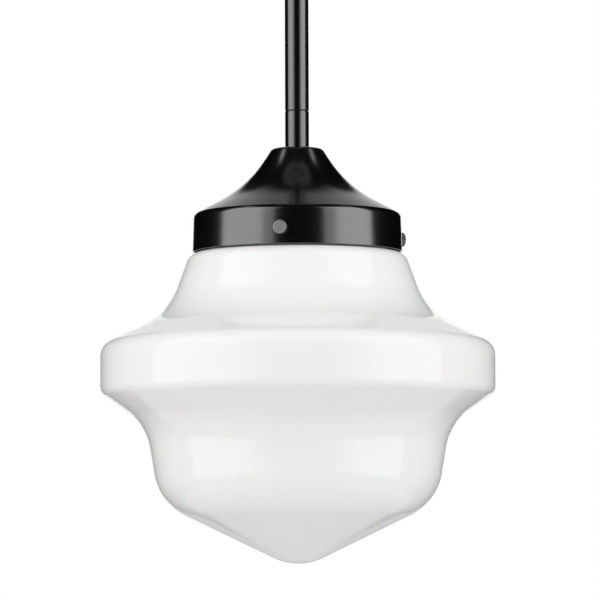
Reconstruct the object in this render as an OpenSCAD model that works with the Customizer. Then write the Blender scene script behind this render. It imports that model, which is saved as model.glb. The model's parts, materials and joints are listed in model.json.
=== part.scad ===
// Mini pendant light with a black stem and a pointed opal glass shade.
// Millimetres, +Z up. The origin lies in the ceiling plane, midway between the two box screw holes.

/* [Ceiling canopy] */
// Outer diameter of the canopy
canopy_d = 120; // [116:1:140]
// Height of the canopy from the ceiling to its flat bottom
canopy_h = 28; // [27:0.5:34]
// Thickness of the spun canopy sheet
canopy_wall = 1; // [0.8:0.1:1.5]
// Outer radius of the canopy's lower corner
canopy_corner_r = 9; // [4:1:12]

/* [Crossbar and its fasteners] */
// Distance between the two box screw holes
box_hole_spacing = 88.9; // [82:0.1:92]
// Diameter of each box screw hole
box_hole_d = 5; // [4.5:0.1:6]
// Steel left beyond each box screw hole
bar_end = 7; // [5:0.5:9]
// Width of the crossbar
bar_w = 20; // [16:1:24]
// Thickness of the crossbar
bar_t = 2; // [1.5:0.1:2.5]
// Diameter of the wire hole in the middle of the crossbar
bar_wire_hole_d = 13; // [10:1:16]
// Distance between the two canopy studs
stud_spacing = 65; // [60:1:70]
// Diameter of the canopy studs, and of the thumb screws' thread
screw_d = 4.2; // [3.8:0.1:4.6]
// Width across the flats of the stud nuts
stud_nut_af = 8.7; // [8:0.1:9.5]
// Height of the stud nuts
stud_nut_h = 3; // [2.5:0.1:4]
// Diameter of the round canopy knobs
knob_d = 9.5; // [8:0.1:12]
// Height of the canopy knobs
knob_h = 9; // [8:0.1:12]
// Radius of the rounded end of a canopy knob
knob_dome_r = 3.8; // [2:0.1:4]
// Radius of a canopy knob's edge against the canopy
knob_edge_r = 0.6; // [0.3:0.1:1]
// How far the stud goes into its knob
knob_grip = 5; // [4:0.1:6]
// Distance from the crossbar's middle to its ground screw
ground_screw_x = 18; // [16:0.5:20]
// Diameter of the ground screws' thread
ground_screw_d = 3.6; // [3:0.1:4]
// Diameter of the ground screws' head
ground_head_d = 6.5; // [6:0.1:7.5]
// Height of the ground screws' head
ground_head_h = 2.2; // [1.8:0.1:2.6]
// Diameter of the wire nuts at their open end
wire_nut_d = 10.5; // [9:0.1:12]
// Length of the wire nuts
wire_nut_l = 18; // [15:0.5:20]
// Diameter of the wire nuts at their closed end
wire_nut_tip_d = 7; // [5:0.1:8]
// Length of the straight skirt at a wire nut's open end
wire_nut_skirt = 5.4; // [4:0.1:7]
// Depth of a wire nut's bore
wire_nut_depth = 9; // [8:0.1:12]
// Room round a wire in the bore of its wire nut
wire_nut_room = 0.65; // [0.4:0.05:1]
// Distance from the canopy's middle to the open end of a wire nut
wire_nut_y = 30; // [28:0.5:32]

/* [Swivel] */
// Diameter of the swivel ball
ball_d = 25.4; // [23:0.1:27]
// How far the stem leans from upright in the swivel
swivel_tilt = 20; // [10:1:22]
// Space between the ball and its seat
seat_clear = 0.3; // [0.2:0.05:0.5]
// Wall of the seat where it passes through the canopy
seat_collar_wall = 1.8; // [1.2:0.1:2.5]
// How far the seat's collar stands out below the canopy
seat_proud = 0.4; // [0.2:0.1:1]
// Width of the seat's flange beyond its collar
seat_flange = 4; // [3:0.1:6]

/* [Stem] */
// Outer diameter of the stem
stem_d = 12.7; // [11.7:0.1:13.5]
// Length of the long stem rod
rod_l = 152.4; // [76:0.1:305]
// Length of the short stem neck above the shade holder
neck_l = 20.1; // [18:0.1:40]
// Bevel at the ends of the stem pieces
stem_bevel = 0.4; // [0.2:0.1:0.8]
// Outer diameter of the threaded nipples
nipple_d = 9.6; // [9:0.1:10]
// Bore of the threaded nipples
nipple_bore = 6.4; // [6:0.1:7]
// How deep a nipple goes into the rod or the ball
nipple_grip = 9; // [6:0.5:9.5]

/* [Shade holder] */
// Height of the shade holder
holder_h = 55.4; // [50:0.1:60]
// Thickness of the spun sheet of the shade holder
holder_wall = 1; // [0.8:0.1:1.2]
// Diameter of the flat top of the shade holder
holder_top_d = 26.8; // [26:0.1:32]
// Outer radius of the top corner
holder_top_r = 3.4; // [1.5:0.1:4]
// Height of the straight band
band_h = 20; // [18:0.5:24]
// How much wider the band is at its rim than at the crease
band_flare = 1.2; // [0:0.1:2]
// Outer radius of the crease between cone and band
crease_r = 3.6; // [2:0.1:6]
// Height above the rim at which the two slopes of the cone would meet
cone_bend_z = 35; // [33:0.1:38]
// Diameter at which the two slopes of the cone would meet
cone_bend_d = 53; // [50:0.1:56]
// Radius of the hollow curve of the cone
cone_curve_r = 68; // [40:1:80]
// Width across the flats of the holder nut
holder_nut_af = 14; // [13:0.1:15]
// Height of the holder nut
holder_nut_h = 3.6; // [3:0.1:4]
// Outer diameter of the lock washer
washer_d = 15; // [13:0.1:16]
// Thickness of the lock washer
washer_t = 1; // [0.8:0.1:1.4]
// Length of nipple left below the holder nut
nipple_tail = 2; // [1:0.1:3]

/* [Thumb screws] */
// Number of thumb screws round the band
screw_count = 3; // [3:1:3]
// How far the first thumb screw is turned to the left of the front
screw_turn = 8.7; // [0:0.1:20]
// Height of the thumb screws above the holder's rim
screw_z = 8.4; // [7.5:0.1:9.5]
// Diameter of the thumb screw heads
screw_head_d = 7.7; // [7:0.1:9]
// Thickness of the thumb screw heads
screw_head_t = 4.4; // [3:0.1:5]
// Width of the slanted edge at the back of a thumb screw head
screw_head_slant = 1.08; // [0.5:0.01:1.5]
// Depth of the slanted edge at the back of a thumb screw head
screw_head_slant_t = 0.6; // [0.3:0.1:1]
// Radius of the edge round the face of a thumb screw head
screw_head_edge_r = 1.1; // [0.5:0.1:1.5]
// Gap between the band and a tightened screw's head
screw_head_gap = 1.4; // [0.5:0.1:2]
// Outer diameter of the tapped bushings inside the band
bushing_d = 9; // [7:0.1:10]
// Length of the tapped bushings
bushing_l = 3; // [2.5:0.1:3.2]
// Clearance of a screw in its tapped hole
thread_clear = 0.05; // [0.02:0.01:0.1]

/* [Glass shade] */
// Diameter of the shade's drum
shade_d = 210; // [200:1:220]
// Thickness of the glass
glass_t = 3.2; // [2.5:0.1:3.6]
// Diameter of the lip that the thumb screws hold
lip_d = 101.6; // [96:0.1:110]
// Height of the lip
lip_h = 4.3; // [3:0.1:5]
// How far the lip stands out from the straight neck below it
lip_ledge = 3.3; // [2.5:0.1:4]
// Radius of the lip's upper edges
lip_edge_r = 1.3; // [0.8:0.1:1.6]
// Gap between the lip and the bushings round it
lip_clear = 0.35; // [0.3:0.05:1]
// Space between a thumb screw and the lip above it
lip_seat = 0.2; // [0.1:0.05:0.5]
// Radius of the corner between the straight neck and the collar
neck_corner_r = 2.5; // [1.5:0.1:4]
// Gap between the holder's rim and the glass below it
collar_gap = 0.3; // [0.2:0.05:1]
// How far the shade stands out past the rim where it comes out under it
collar_proud = 1.5; // [0.5:0.1:3]
// Depth below the rim at which the collar's flare meets the shoulder
shoulder_z = 32.8; // [28:0.1:35]
// Diameter at which the collar's flare meets the shoulder
shoulder_d = 138.4; // [132:0.1:142]
// Depth below the rim at which the shoulder meets the drum
drum_top_z = 49.2; // [47:0.1:53]
// Depth below the rim at which the drum meets its underside
drum_low_z = 74.8; // [70:0.1:77]
// Depth below the rim at which the underside meets the lower body
waist_z = 92; // [88:0.1:96]
// Diameter at which the underside meets the lower body
waist_d = 161.2; // [156:0.1:166]
// Depth below the rim at which the lower body meets the pointed bottom
foot_z = 133.5; // [126:0.1:138]
// Diameter at which the lower body meets the pointed bottom
foot_d = 147.4; // [140:0.1:152]
// Depth below the rim at which the pointed bottom's sides would meet
point_z = 168.6; // [162:0.1:176]
// Outer radius of the collar under the rim
collar_r = 7.5; // [6:0.5:9]
// Radius of the hollow curve between collar and shoulder
flare_r = 38; // [24:1:41]
// Outer radius of the drum's upper corner
drum_top_r = 9.5; // [8:0.5:14]
// Outer radius of the drum's lower corner
drum_low_r = 6.5; // [5:0.5:10]
// Radius of the hollow curve between the drum's underside and the lower body
waist_r = 29; // [20:1:34]
// Outer radius between the lower body and the pointed bottom
foot_r = 30; // [24:1:36]
// Outer radius of the tip
point_r = 30; // [20:1:40]

/* [Lamp socket] */
// Outer diameter of the porcelain socket
socket_d = 40; // [38:0.5:44]
// Height of the porcelain socket
socket_h = 46; // [44:0.5:50]
// How far the socket reaches below the holder's rim
socket_drop = 15; // [10:0.5:18]
// Depth of the socket's cavity
cavity_depth = 30; // [29:0.5:32]
// Radius of the socket's lower edge
socket_low_r = 1.5; // [1:0.1:2.5]
// Radius of the socket's upper edge
socket_top_r = 2.5; // [1:0.1:3]
// How far the screw shell sits above the socket's lower end
shell_inset = 3; // [2:0.5:4]
// Outer diameter of the screw shell
shell_d = 28.8; // [28.4:0.1:29.4]
// Thickness of the screw shell
shell_t = 0.6; // [0.4:0.05:0.8]
// Length of the screw shell
shell_l = 24; // [22:0.5:26]
// Diameter of the centre contact
contact_d = 9; // [7:0.1:10]
// Thickness of the centre contact
contact_t = 1.4; // [1:0.1:2]
// Sheet thickness of the socket bracket
bracket_t = 1.2; // [1:0.1:1.5]
// Width of the socket bracket
bracket_w = 12; // [10:0.5:12.5]
// Distance between the two screws in the bracket's feet
foot_screw_spacing = 33; // [32:0.1:34]
// Diameter of the socket screws' thread
socket_screw_d = 3.4; // [3:0.1:3.6]
// Diameter of the socket screws' heads
socket_screw_head_d = 5.6; // [5:0.1:6]
// Height of the socket screws' heads
socket_screw_head_h = 2; // [1.6:0.1:2.4]
// Length of the socket screws below their heads
socket_screw_grip = 8; // [6:0.1:9]
// Distance between the two terminal screws
terminal_spacing = 29; // [27:0.5:30]

/* [Bulb] */
// Length of the bulb
bulb_l = 108; // [100:1:112]
// Diameter of the bulb's globe
bulb_d = 60; // [55:1:64]
// Outer diameter of the bulb's screw base
base_d = 26.4; // [26:0.1:26.6]
// Length of the bulb's screw base
base_l = 21; // [18:0.5:23]
// Wall of the bulb's shells
bulb_wall = 1.2; // [0.8:0.1:1.6]
// Height of the insulator and contact above the bulb's screw base
bulb_tip_h = 3; // [2.5:0.1:4]
// Height of the insulator alone
insulator_h = 1.8; // [1.4:0.1:2]
// Width of the open ring round the contact at the top of the screw base
base_cap_rim = 2.5; // [2:0.1:3]
// Height of the slope at the top of the screw base
base_slope = 3; // [2:0.1:4]
// Radius below the slope of the screw base
base_edge_r = 1; // [0.5:0.1:2]
// Thickness of the screw base's sheet
base_wall = 0.5; // [0.3:0.05:0.6]
// How far the housing stands out round the screw base
housing_step = 0.4; // [0.2:0.1:1]
// Length of the housing's straight neck below the screw base
housing_neck_l = 6; // [4:0.5:8]
// Radius below the housing's neck
housing_neck_r = 4; // [2:0.5:8]
// Height above the globe's middle at which the housing's slope meets it
housing_bend_h = 14.4; // [12:0.1:18]
// Radius between the housing's slope and the globe
housing_bend_r = 24; // [16:1:30]
// Height of the seam between globe and housing above the globe's middle
globe_seam_h = 18; // [15:0.5:20]
// Depth of the light board below the housing's neck
board_drop = 13.4; // [10:0.1:16]
// Thickness of the light board
board_t = 1.6; // [1:0.1:2]
// Diameter of a light source on the board
led_d = 3; // [2:0.1:4]
// Height of a light source on the board
led_h = 0.8; // [0.5:0.1:1.2]
// Number of light sources round the board
led_count = 8; // [6:1:10]

/* [Wires] */
// Diameter of an insulated lead
lead_d = 2.2; // [1.8:0.1:2.3]
// Space between leads that run side by side
lead_clear = 0.15; // [0.1:0.05:0.3]
// Straight length of a tail at the mouth of its wire nut
tail_mouth = 3; // [2:0.5:5]
// Length over which a tail comes down to its wire nut
tail_fall = 10; // [8:0.5:12]
// Distance from the canopy's middle at which a tail has come up under the crossbar
tail_turn_y = 5; // [4:0.5:7]

/* [Hidden] */

$fn = 96;
// Largest gap between a rounded outline's chords and its arc
arc_sag = 0.08;
// Space left between pieces that fit face to face, and round a loose hole
face_gap = 0.05;
hole_clear = 0.2;
// Space between two pieces that move past each other
move_gap = 0.3;
// Excess of a cut beyond the solid that it opens
over = 1;
// Small rise or step at which a lead starts to bend
lead_step = 1;
// Straight edge and flat crown of a small screw head, as shares of its height and diameter
head_edge_share = 0.6;
head_crown_share = 0.7;

// Swivel, measured from the canopy's bottom upward
ball_r = ball_d / 2;
stem_r = stem_d / 2;
seat_r = ball_r + seat_clear;
lean_cos = cos(swivel_tilt);
lean_reach = stem_r / lean_cos + move_gap;
lean_run = lean_reach * tan(swivel_tilt);
seat_reach = (pow(seat_r, 2) - pow(lean_reach, 2)) / pow(lean_cos, 2);
seat_depth = pow(lean_cos, 2) * (sqrt(pow(lean_run, 2) + seat_reach) - lean_run);
seat_mouth_r = sqrt(pow(seat_r, 2) - pow(seat_depth, 2));
collar_outer_r = seat_mouth_r + seat_collar_wall;
canopy_hole_r = collar_outer_r + 2 * thread_clear;
seat_low_z = -canopy_h - seat_proud;
ball_z = seat_low_z + seat_depth;
ball_foot = sqrt(pow(ball_r, 2) - pow(stem_r, 2));

// Heights down the stem
rod_top_z = ball_z - ball_foot;
joint_z = rod_top_z - rod_l;
holder_top_z = joint_z - neck_l;
rim_z = holder_top_z - holder_h;
tapped_bore = nipple_d + 2 * thread_clear;
neck_grip = min(nipple_grip, neck_l / 2 - over);
bracket_top_z = holder_top_z - holder_wall - face_gap;
washer_top_z = bracket_top_z - bracket_t - face_gap;
nut_top_z = washer_top_z - washer_t - face_gap;
nipple_low_z = nut_top_z - holder_nut_h - nipple_tail;

// Band of the shade holder, sized round the bushings and the glass lip inside it
band_top_d = lip_d + 2 * (lip_clear + bushing_l + face_gap + holder_wall);
band_rim_d = band_top_d + band_flare;
glass_neck_r = lip_d / 2 - lip_ledge;
collar_d = band_rim_d + 2 * collar_proud;

// Thumb screws and the glass lip that they carry
screw_axis_z = rim_z + screw_z;
band_r_at_screw = (band_rim_d + (band_top_d - band_rim_d) * screw_z / band_h) / 2;
band_inner_r = band_r_at_screw - holder_wall - face_gap;
screw_tip_r = glass_neck_r + move_gap;
screw_head_r = band_r_at_screw + screw_head_gap;
lip_low_z = screw_axis_z + screw_d / 2 + lip_seat;
lip_top_z = lip_low_z + lip_h;
function screw_angle(i) = -90 - screw_turn + i * 360 / screw_count;

// Socket and bulb
socket_low_z = rim_z - socket_drop;
socket_top_z = socket_low_z + socket_h;
cavity_r = shell_d / 2 + face_gap;
cavity_top_z = socket_low_z + cavity_depth;
bulb_top_z = cavity_top_z - contact_t - move_gap - face_gap;
base_top_z = bulb_top_z - bulb_tip_h;
base_low_z = base_top_z - base_l;
bulb_low_z = bulb_top_z - bulb_l;
globe_z = bulb_low_z + bulb_d / 2;
globe_cut_z = globe_z + globe_seam_h;
housing_top_r = base_d / 2 + housing_step;
housing_top_z = base_low_z - housing_neck_l;
housing_low_z = globe_z + housing_bend_h;
housing_slope = (bulb_d / 2 - housing_top_r) / (housing_top_z - housing_low_z);
board_top_z = housing_top_z - board_drop;
board_inset = bulb_wall * sqrt(1 + pow(housing_slope, 2)) + face_gap;
board_r = housing_top_r + board_drop * housing_slope - board_inset;
board_low_z = board_top_z - board_t;
base_cap_r = contact_d / 2 + base_cap_rim;
insulator_top_z = base_top_z + insulator_h;
bulb_contact_r = contact_d * 0.4;

// Leads
lead_r = lead_d / 2;
lead_offset = (lead_d + lead_clear) / sqrt(3);
lead_top_z = ball_z + sqrt(pow(ball_r, 2) - pow(lead_offset + lead_r, 2)) - face_gap;
tail_low_z = ball_z + ball_r + move_gap;
tail_run_z = -bar_t - lead_r - hole_clear;
wire_nut_z = -canopy_h + canopy_wall + wire_nut_d / 2 + face_gap;
terminal_z = socket_top_z + lead_r + hole_clear;
terminal_y = terminal_spacing / 2 - socket_screw_head_d / 2 - lead_clear;
top_turn = atan2(holder_h - cone_bend_z, (cone_bend_d - holder_top_d) / 2);
bracket_corner_r = holder_top_d / 2 - holder_top_r * tan(top_turn / 2) - hole_clear;
bracket_span = 2 * sqrt(pow(bracket_corner_r, 2) - pow(bracket_w / 2, 2));
leg_screw_z = (bracket_top_z + socket_top_z) / 2;
leg_inner_x = bracket_span / 2 - bracket_t;

function unit(v) = v / norm(v);
function reversed(list) = [for (i = [len(list) - 1:-1:0]) list[i]];

// Points of the arc that rounds the corner q between the runs to a and b
function corner_arc(a, q, b, r, share) =
    let (
        u = unit(a - q),
        v = unit(b - q),
        half = acos(max(-1, min(1, u * v))) / 2,
        most = share * min(norm(a - q), norm(b - q)) * tan(half),
        radius = min(r, most),
        centre = q + unit(u + v) * radius / sin(half),
        start = q + u * radius / tan(half) - centre,
        end = q + v * radius / tan(half) - centre,
        from = atan2(start[1], start[0]),
        sweep = (atan2(end[1], end[0]) - from + 540) % 360 - 180,
        step = 2 * acos(max(0, 1 - arc_sag / radius)),
        steps = 2 * ceil(abs(sweep) / step / 2)
    )
    [for (i = [0:steps])
        let (turn = from + sweep * i / steps)
        centre + radius * [cos(turn), sin(turn)]];

// Outline through corners given as [x, y, radius], where a radius takes at most its share of a run
function rounded_path(corners, share = 0.5) =
    let (last = len(corners) - 1, at = [for (c = corners) [c[0], c[1]]])
    [for (i = [0:last])
        each i == 0 || i == last || corners[i][2] == 0
            ? [at[i]]
            : corner_arc(at[i - 1], at[i], at[i + 1], corners[i][2], share)];

// The same outline moved by a distance to the right of the way it runs
function inset_path(path, distance) =
    let (
        last = len(path) - 1,
        side = [for (i = [0:last - 1]) let (t = unit(path[i + 1] - path[i])) [t[1], -t[0]]]
    )
    [for (i = [0:last])
        let (before = side[max(0, i - 1)], after = side[min(last - 1, i)])
        path[i] + (before + after) * distance / (1 + before * after)];

// The part of an outline on the right of the axis
function right_half(path) = [for (p = path) if (p[0] > -0.001) [max(0, p[0]), p[1]]];

// Sheet of even thickness spun round the axis
module spun_sheet(path, wall) {
    rotate_extrude() polygon(concat(right_half(path), reversed(right_half(inset_path(path, wall)))));
}

// Upright tube between two heights
module upright_tube(outer_d, inner_d, low_z, top_z) {
    difference() {
        translate([0, 0, low_z]) cylinder(d = outer_d, h = top_z - low_z);
        translate([0, 0, low_z - over]) cylinder(d = inner_d, h = top_z - low_z + 2 * over);
    }
}

// Stem piece with a bevel at both ends and a tapped bore
module stem_piece(low_z, top_z) {
    rotate_extrude() polygon([
        [tapped_bore / 2, low_z], [stem_r - stem_bevel, low_z], [stem_r, low_z + stem_bevel],
        [stem_r, top_z - stem_bevel], [stem_r - stem_bevel, top_z], [tapped_bore / 2, top_z]
    ]);
}

// Hexagonal nut whose top face is at the origin, with flats square to the X axis
module hex_nut(flats, height, bore) {
    translate([0, 0, -height]) difference() {
        rotate([0, 0, 30]) cylinder(d = flats / cos(30), h = height, $fn = 6);
        translate([0, 0, -over]) cylinder(d = bore, h = height + 2 * over);
    }
}

// Screw with its head's underside at the origin and its thread going down
module round_screw(thread_d, grip, head_d, head_h) {
    rotate_extrude() polygon([
        [0, -grip], [thread_d / 2, -grip], [thread_d / 2, 0], [head_d / 2, 0],
        [head_d / 2, head_h * head_edge_share], [head_d / 2 * head_crown_share, head_h], [0, head_h]
    ]);
}

// Smooth curve through points, with the given number of steps between two of them
function smooth_point(a, b, c, d, t) =
    let (bend = 2 * a - 5 * b + 4 * c - d, twist = 3 * b - a - 3 * c + d)
    (2 * b + (c - a) * t + bend * t * t + twist * t * t * t) / 2;
function smooth_route(points, steps) =
    let (last = len(points) - 1)
    concat(
        [for (i = [0:last - 1], k = [0:steps - 1])
            let (before = points[max(0, i - 1)], after = points[min(last, i + 2)])
            smooth_point(before, points[i], points[i + 1], after, k / steps)],
        [points[last]]
    );

// Round wire along a route, with the side vector square to the plane that the route mostly keeps to
module wire(route, side, sides = 8) {
    last = len(route) - 1;
    rings = [for (i = [0:last])
        let (
            way = unit(route[min(last, i + 1)] - route[max(0, i - 1)]),
            across = unit(side - way * (side * way)),
            up = cross(way, across)
        )
        each [for (k = [0:sides - 1])
            route[i] + lead_r * (across * cos(360 * k / sides) + up * sin(360 * k / sides))]];
    walls = [for (i = [0:last - 1]) for (k = [0:sides - 1])
        let (a = i * sides + k, b = i * sides + (k + 1) % sides)
        each [[a, a + sides, b], [b, a + sides, b + sides]]];
    caps = [
        [for (k = [0:sides - 1]) k],
        [for (k = [sides - 1:-1:0]) last * sides + k]
    ];
    polyhedron(points = rings, faces = concat(walls, caps), convexity = 4);
}

function lead_place(angle) = [lead_offset * cos(angle), lead_offset * sin(angle)];
live_place = lead_place(90);
neutral_place = lead_place(210);
ground_place = lead_place(330);

module canopy() {
    outline = rounded_path([
        [canopy_d / 2, 0, 0],
        [canopy_d / 2, -canopy_h, canopy_corner_r],
        [canopy_hole_r, -canopy_h, 0]
    ]);
    color("#1c1c1c") difference() {
        spun_sheet(outline, canopy_wall);
        for (side = [-1, 1]) translate([side * stud_spacing / 2, 0, -canopy_h - over])
            cylinder(d = screw_d + 2 * hole_clear, h = canopy_wall + 2 * over);
    }
}

module crossbar() {
    half = box_hole_spacing / 2 + bar_end;
    corner = bar_w / 4;
    color("#b9b9b5") difference() {
        translate([0, 0, -bar_t]) linear_extrude(bar_t) difference() {
            union() {
                square([2 * half - 2 * corner, bar_w], center = true);
                square([2 * half, bar_w - 2 * corner], center = true);
                for (x = [-1, 1], y = [-1, 1])
                    translate([x * (half - corner), y * (bar_w / 2 - corner)]) circle(corner);
            }
            circle(d = bar_wire_hole_d);
            for (side = [-1, 1]) translate([side * box_hole_spacing / 2, 0]) circle(d = box_hole_d);
            for (side = [-1, 1]) translate([side * stud_spacing / 2, 0])
                circle(d = screw_d + 2 * thread_clear);
            translate([ground_screw_x, 0]) circle(d = ground_screw_d + 2 * thread_clear);
        }
    }
}

module canopy_studs() {
    color("#c8c8c4") for (side = [-1, 1])
        translate([side * stud_spacing / 2, 0, -canopy_h - knob_grip])
            cylinder(d = screw_d, h = canopy_h + knob_grip);
}

module stud_nuts() {
    color("#c8c8c4") for (side = [-1, 1])
        translate([side * stud_spacing / 2, 0, -bar_t - face_gap])
            hex_nut(stud_nut_af, stud_nut_h, screw_d + 2 * thread_clear);
}

// Round cap nuts that hold the canopy up on its studs
module canopy_knobs() {
    outline = rounded_path([
        [0, -knob_h, 0],
        [knob_d / 2, -knob_h, knob_dome_r],
        [knob_d / 2, 0, knob_edge_r],
        [0, 0, 0]
    ]);
    color("#1c1c1c") for (side = [-1, 1])
        translate([side * stud_spacing / 2, 0, -canopy_h - face_gap]) difference() {
            rotate_extrude() polygon(outline);
            translate([0, 0, -knob_grip - hole_clear])
                cylinder(d = screw_d + 2 * thread_clear, h = knob_grip + hole_clear + over);
        }
}

module bar_ground_screw() {
    color("#3f9a4c") translate([ground_screw_x, 0, -bar_t - face_gap]) mirror([0, 0, 1])
        round_screw(ground_screw_d, bar_t, ground_head_d, ground_head_h);
}

// Twist-on connectors that lie on the canopy's floor
module wire_nuts() {
    bore_r = lead_r + wire_nut_room;
    color("#c07a2c") for (side = [-1, 1])
        translate([0, side * wire_nut_y, wire_nut_z]) rotate([-side * 90, 0, 0]) rotate_extrude() polygon([
            [bore_r, 0], [wire_nut_d / 2, 0], [wire_nut_d / 2, wire_nut_skirt],
            [wire_nut_tip_d / 2, wire_nut_l], [0, wire_nut_l], [0, wire_nut_depth],
            [bore_r, wire_nut_depth]
        ]);
}

// Route of a supply tail from the swivel into the wire nut on the given side
function tail_route(place, side) = [
    [place[0], place[1], tail_low_z],
    [place[0], place[1] + side * lead_step / 2, tail_low_z + lead_step],
    [0, side * tail_turn_y, tail_run_z],
    [0, side * (bar_w / 2 + 2 * lead_step), tail_run_z - lead_step],
    [0, side * (wire_nut_y - tail_fall), (tail_run_z + wire_nut_z) / 2],
    [0, side * (wire_nut_y - tail_mouth), wire_nut_z],
    [0, side * (wire_nut_y + wire_nut_skirt), wire_nut_z]
];

module live_tail() {
    color("#202020") wire(smooth_route(tail_route(live_place, 1), 4), [1, 0, 0]);
}

module neutral_tail() {
    color("#e8e6df") wire(smooth_route(tail_route(neutral_place, -1), 4), [1, 0, 0]);
}

module ground_tail() {
    end_x = ground_screw_x - ground_head_d / 2 - hole_clear;
    color("#3f9a4c") wire(smooth_route([
        [ground_place[0], ground_place[1], tail_low_z],
        [ground_place[0] + lead_step / 2, ground_place[1], tail_low_z + lead_step],
        [tail_turn_y + lead_step, 0, tail_run_z],
        [end_x, 0, tail_run_z]
    ], 4), [0, 1, 0]);
}

// Plastic ring that carries the ball and turns in the canopy's hole
module swivel_seat() {
    flange_r = collar_outer_r + seat_flange;
    floor_z = -canopy_h + canopy_wall + 2 * face_gap;
    top_z = ball_z - hole_clear;
    color("#e9e7e0") difference() {
        rotate_extrude() polygon([
            [0, seat_low_z], [collar_outer_r, seat_low_z], [collar_outer_r, floor_z],
            [flange_r, floor_z], [flange_r, top_z], [0, top_z]
        ]);
        translate([0, 0, ball_z]) sphere(seat_r);
    }
}

module swivel_ball() {
    color("#1c1c1c") translate([0, 0, ball_z]) difference() {
        sphere(ball_r);
        translate([0, 0, -ball_r - over]) cylinder(d = tapped_bore, h = 2 * ball_r + 2 * over);
        translate([0, 0, -ball_r - ball_foot]) cylinder(r = ball_r, h = ball_r);
    }
}

module swivel_nipple() {
    color("#c9a85a") upright_tube(nipple_d, nipple_bore, rod_top_z - nipple_grip, rod_top_z + nipple_grip);
}

module stem_rod() {
    color("#1c1c1c") stem_piece(joint_z, rod_top_z - face_gap);
}

module coupling_nipple() {
    color("#c9a85a") upright_tube(nipple_d, nipple_bore, joint_z - neck_grip, joint_z + nipple_grip);
}

module stem_neck() {
    color("#1c1c1c") stem_piece(holder_top_z + face_gap, joint_z - face_gap);
}

module holder_nipple() {
    color("#c9a85a") upright_tube(nipple_d, nipple_bore, nipple_low_z, holder_top_z + neck_grip);
}

// Outer outline of the shade holder from its flat top down to the rim
function holder_outline() = rounded_path([
    [0, holder_top_z, 0],
    [holder_top_d / 2, holder_top_z, holder_top_r],
    [cone_bend_d / 2, rim_z + cone_bend_z, cone_curve_r],
    [band_top_d / 2, rim_z + band_h, crease_r],
    [band_rim_d / 2, rim_z, 0]
], 0.86);

module shade_holder() {
    color("#1c1c1c") difference() {
        spun_sheet(holder_outline(), holder_wall);
        translate([0, 0, holder_top_z - holder_wall - over])
            cylinder(d = nipple_d + 2 * hole_clear, h = holder_wall + 2 * over);
        for (i = [0:screw_count - 1]) rotate([0, 0, screw_angle(i)])
            translate([band_inner_r - over, 0, screw_axis_z]) rotate([0, 90, 0])
                cylinder(d = screw_d + 2 * hole_clear, h = holder_wall + 4 * over);
    }
}

// Bent strap that hangs the socket from the nipple
module socket_bracket() {
    leg_h = bracket_top_z - socket_top_z - face_gap;
    foot_l = foot_screw_spacing / 2 + socket_screw_head_d / 2 - leg_inner_x;
    color("#b9b9b5") difference() {
        union() {
            translate([-bracket_span / 2, -bracket_w / 2, bracket_top_z - bracket_t])
                cube([bracket_span, bracket_w, bracket_t]);
            for (side = [0, 1]) mirror([side, 0, 0]) {
                translate([leg_inner_x, -bracket_w / 2, bracket_top_z - leg_h])
                    cube([bracket_t, bracket_w, leg_h]);
                translate([leg_inner_x, -bracket_w / 2, bracket_top_z - leg_h])
                    cube([foot_l, bracket_w, bracket_t]);
            }
        }
        translate([0, 0, bracket_top_z - bracket_t - over])
            cylinder(d = nipple_d + 2 * hole_clear, h = bracket_t + 2 * over);
        for (side = [-1, 1]) translate([side * foot_screw_spacing / 2, 0, socket_top_z - over])
            cylinder(d = socket_screw_d + 2 * hole_clear, h = bracket_t + 2 * over);
        translate([leg_inner_x - over, 0, leg_screw_z]) rotate([0, 90, 0])
            cylinder(d = ground_screw_d + 2 * thread_clear, h = bracket_t + 2 * over);
    }
}

// Split ring under the holder nut
module lock_washer() {
    color("#c8c8c4") difference() {
        upright_tube(washer_d, nipple_d + 2 * hole_clear, washer_top_z - washer_t, washer_top_z);
        translate([0, -washer_t / 2, washer_top_z - washer_t - over])
            cube([washer_d, washer_t, washer_t + 2 * over]);
    }
}

module holder_nut() {
    color("#c9a85a") translate([0, 0, nut_top_z])
        hex_nut(holder_nut_af, holder_nut_h, nipple_d + 2 * thread_clear);
}

module socket_body() {
    outline = rounded_path([
        [cavity_r, socket_low_z, 0],
        [socket_d / 2, socket_low_z, socket_low_r],
        [socket_d / 2, socket_top_z, socket_top_r],
        [0, socket_top_z, 0],
        [0, cavity_top_z, 0],
        [cavity_r, cavity_top_z, 0]
    ]);
    hole_depth = socket_screw_grip + hole_clear;
    color("#efeee8") difference() {
        rotate_extrude() polygon(outline);
        for (turn = [0, 180]) rotate([0, 0, turn]) {
            translate([foot_screw_spacing / 2, 0, socket_top_z - hole_depth])
                cylinder(d = socket_screw_d + 2 * thread_clear, h = hole_depth + over);
            translate([0, terminal_spacing / 2, socket_top_z - hole_depth])
                cylinder(d = socket_screw_d + 2 * thread_clear, h = hole_depth + over);
        }
    }
}

module socket_shell() {
    shell_low_z = socket_low_z + shell_inset;
    color("#c9a85a") upright_tube(shell_d, shell_d - 2 * shell_t, shell_low_z, shell_low_z + shell_l);
}

module socket_contact() {
    color("#c9a85a") translate([0, 0, cavity_top_z - contact_t - face_gap])
        cylinder(d = contact_d, h = contact_t);
}

module bracket_screws() {
    color("#c8c8c4") for (side = [-1, 1])
        translate([side * foot_screw_spacing / 2, 0, socket_top_z + bracket_t + 2 * face_gap])
            round_screw(socket_screw_d, socket_screw_grip, socket_screw_head_d, socket_screw_head_h);
}

module terminal_screws() {
    color("#c9a85a") for (side = [-1, 1])
        translate([0, side * terminal_spacing / 2, socket_top_z + face_gap])
            round_screw(socket_screw_d, socket_screw_grip, socket_screw_head_d, socket_screw_head_h);
}

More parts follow.
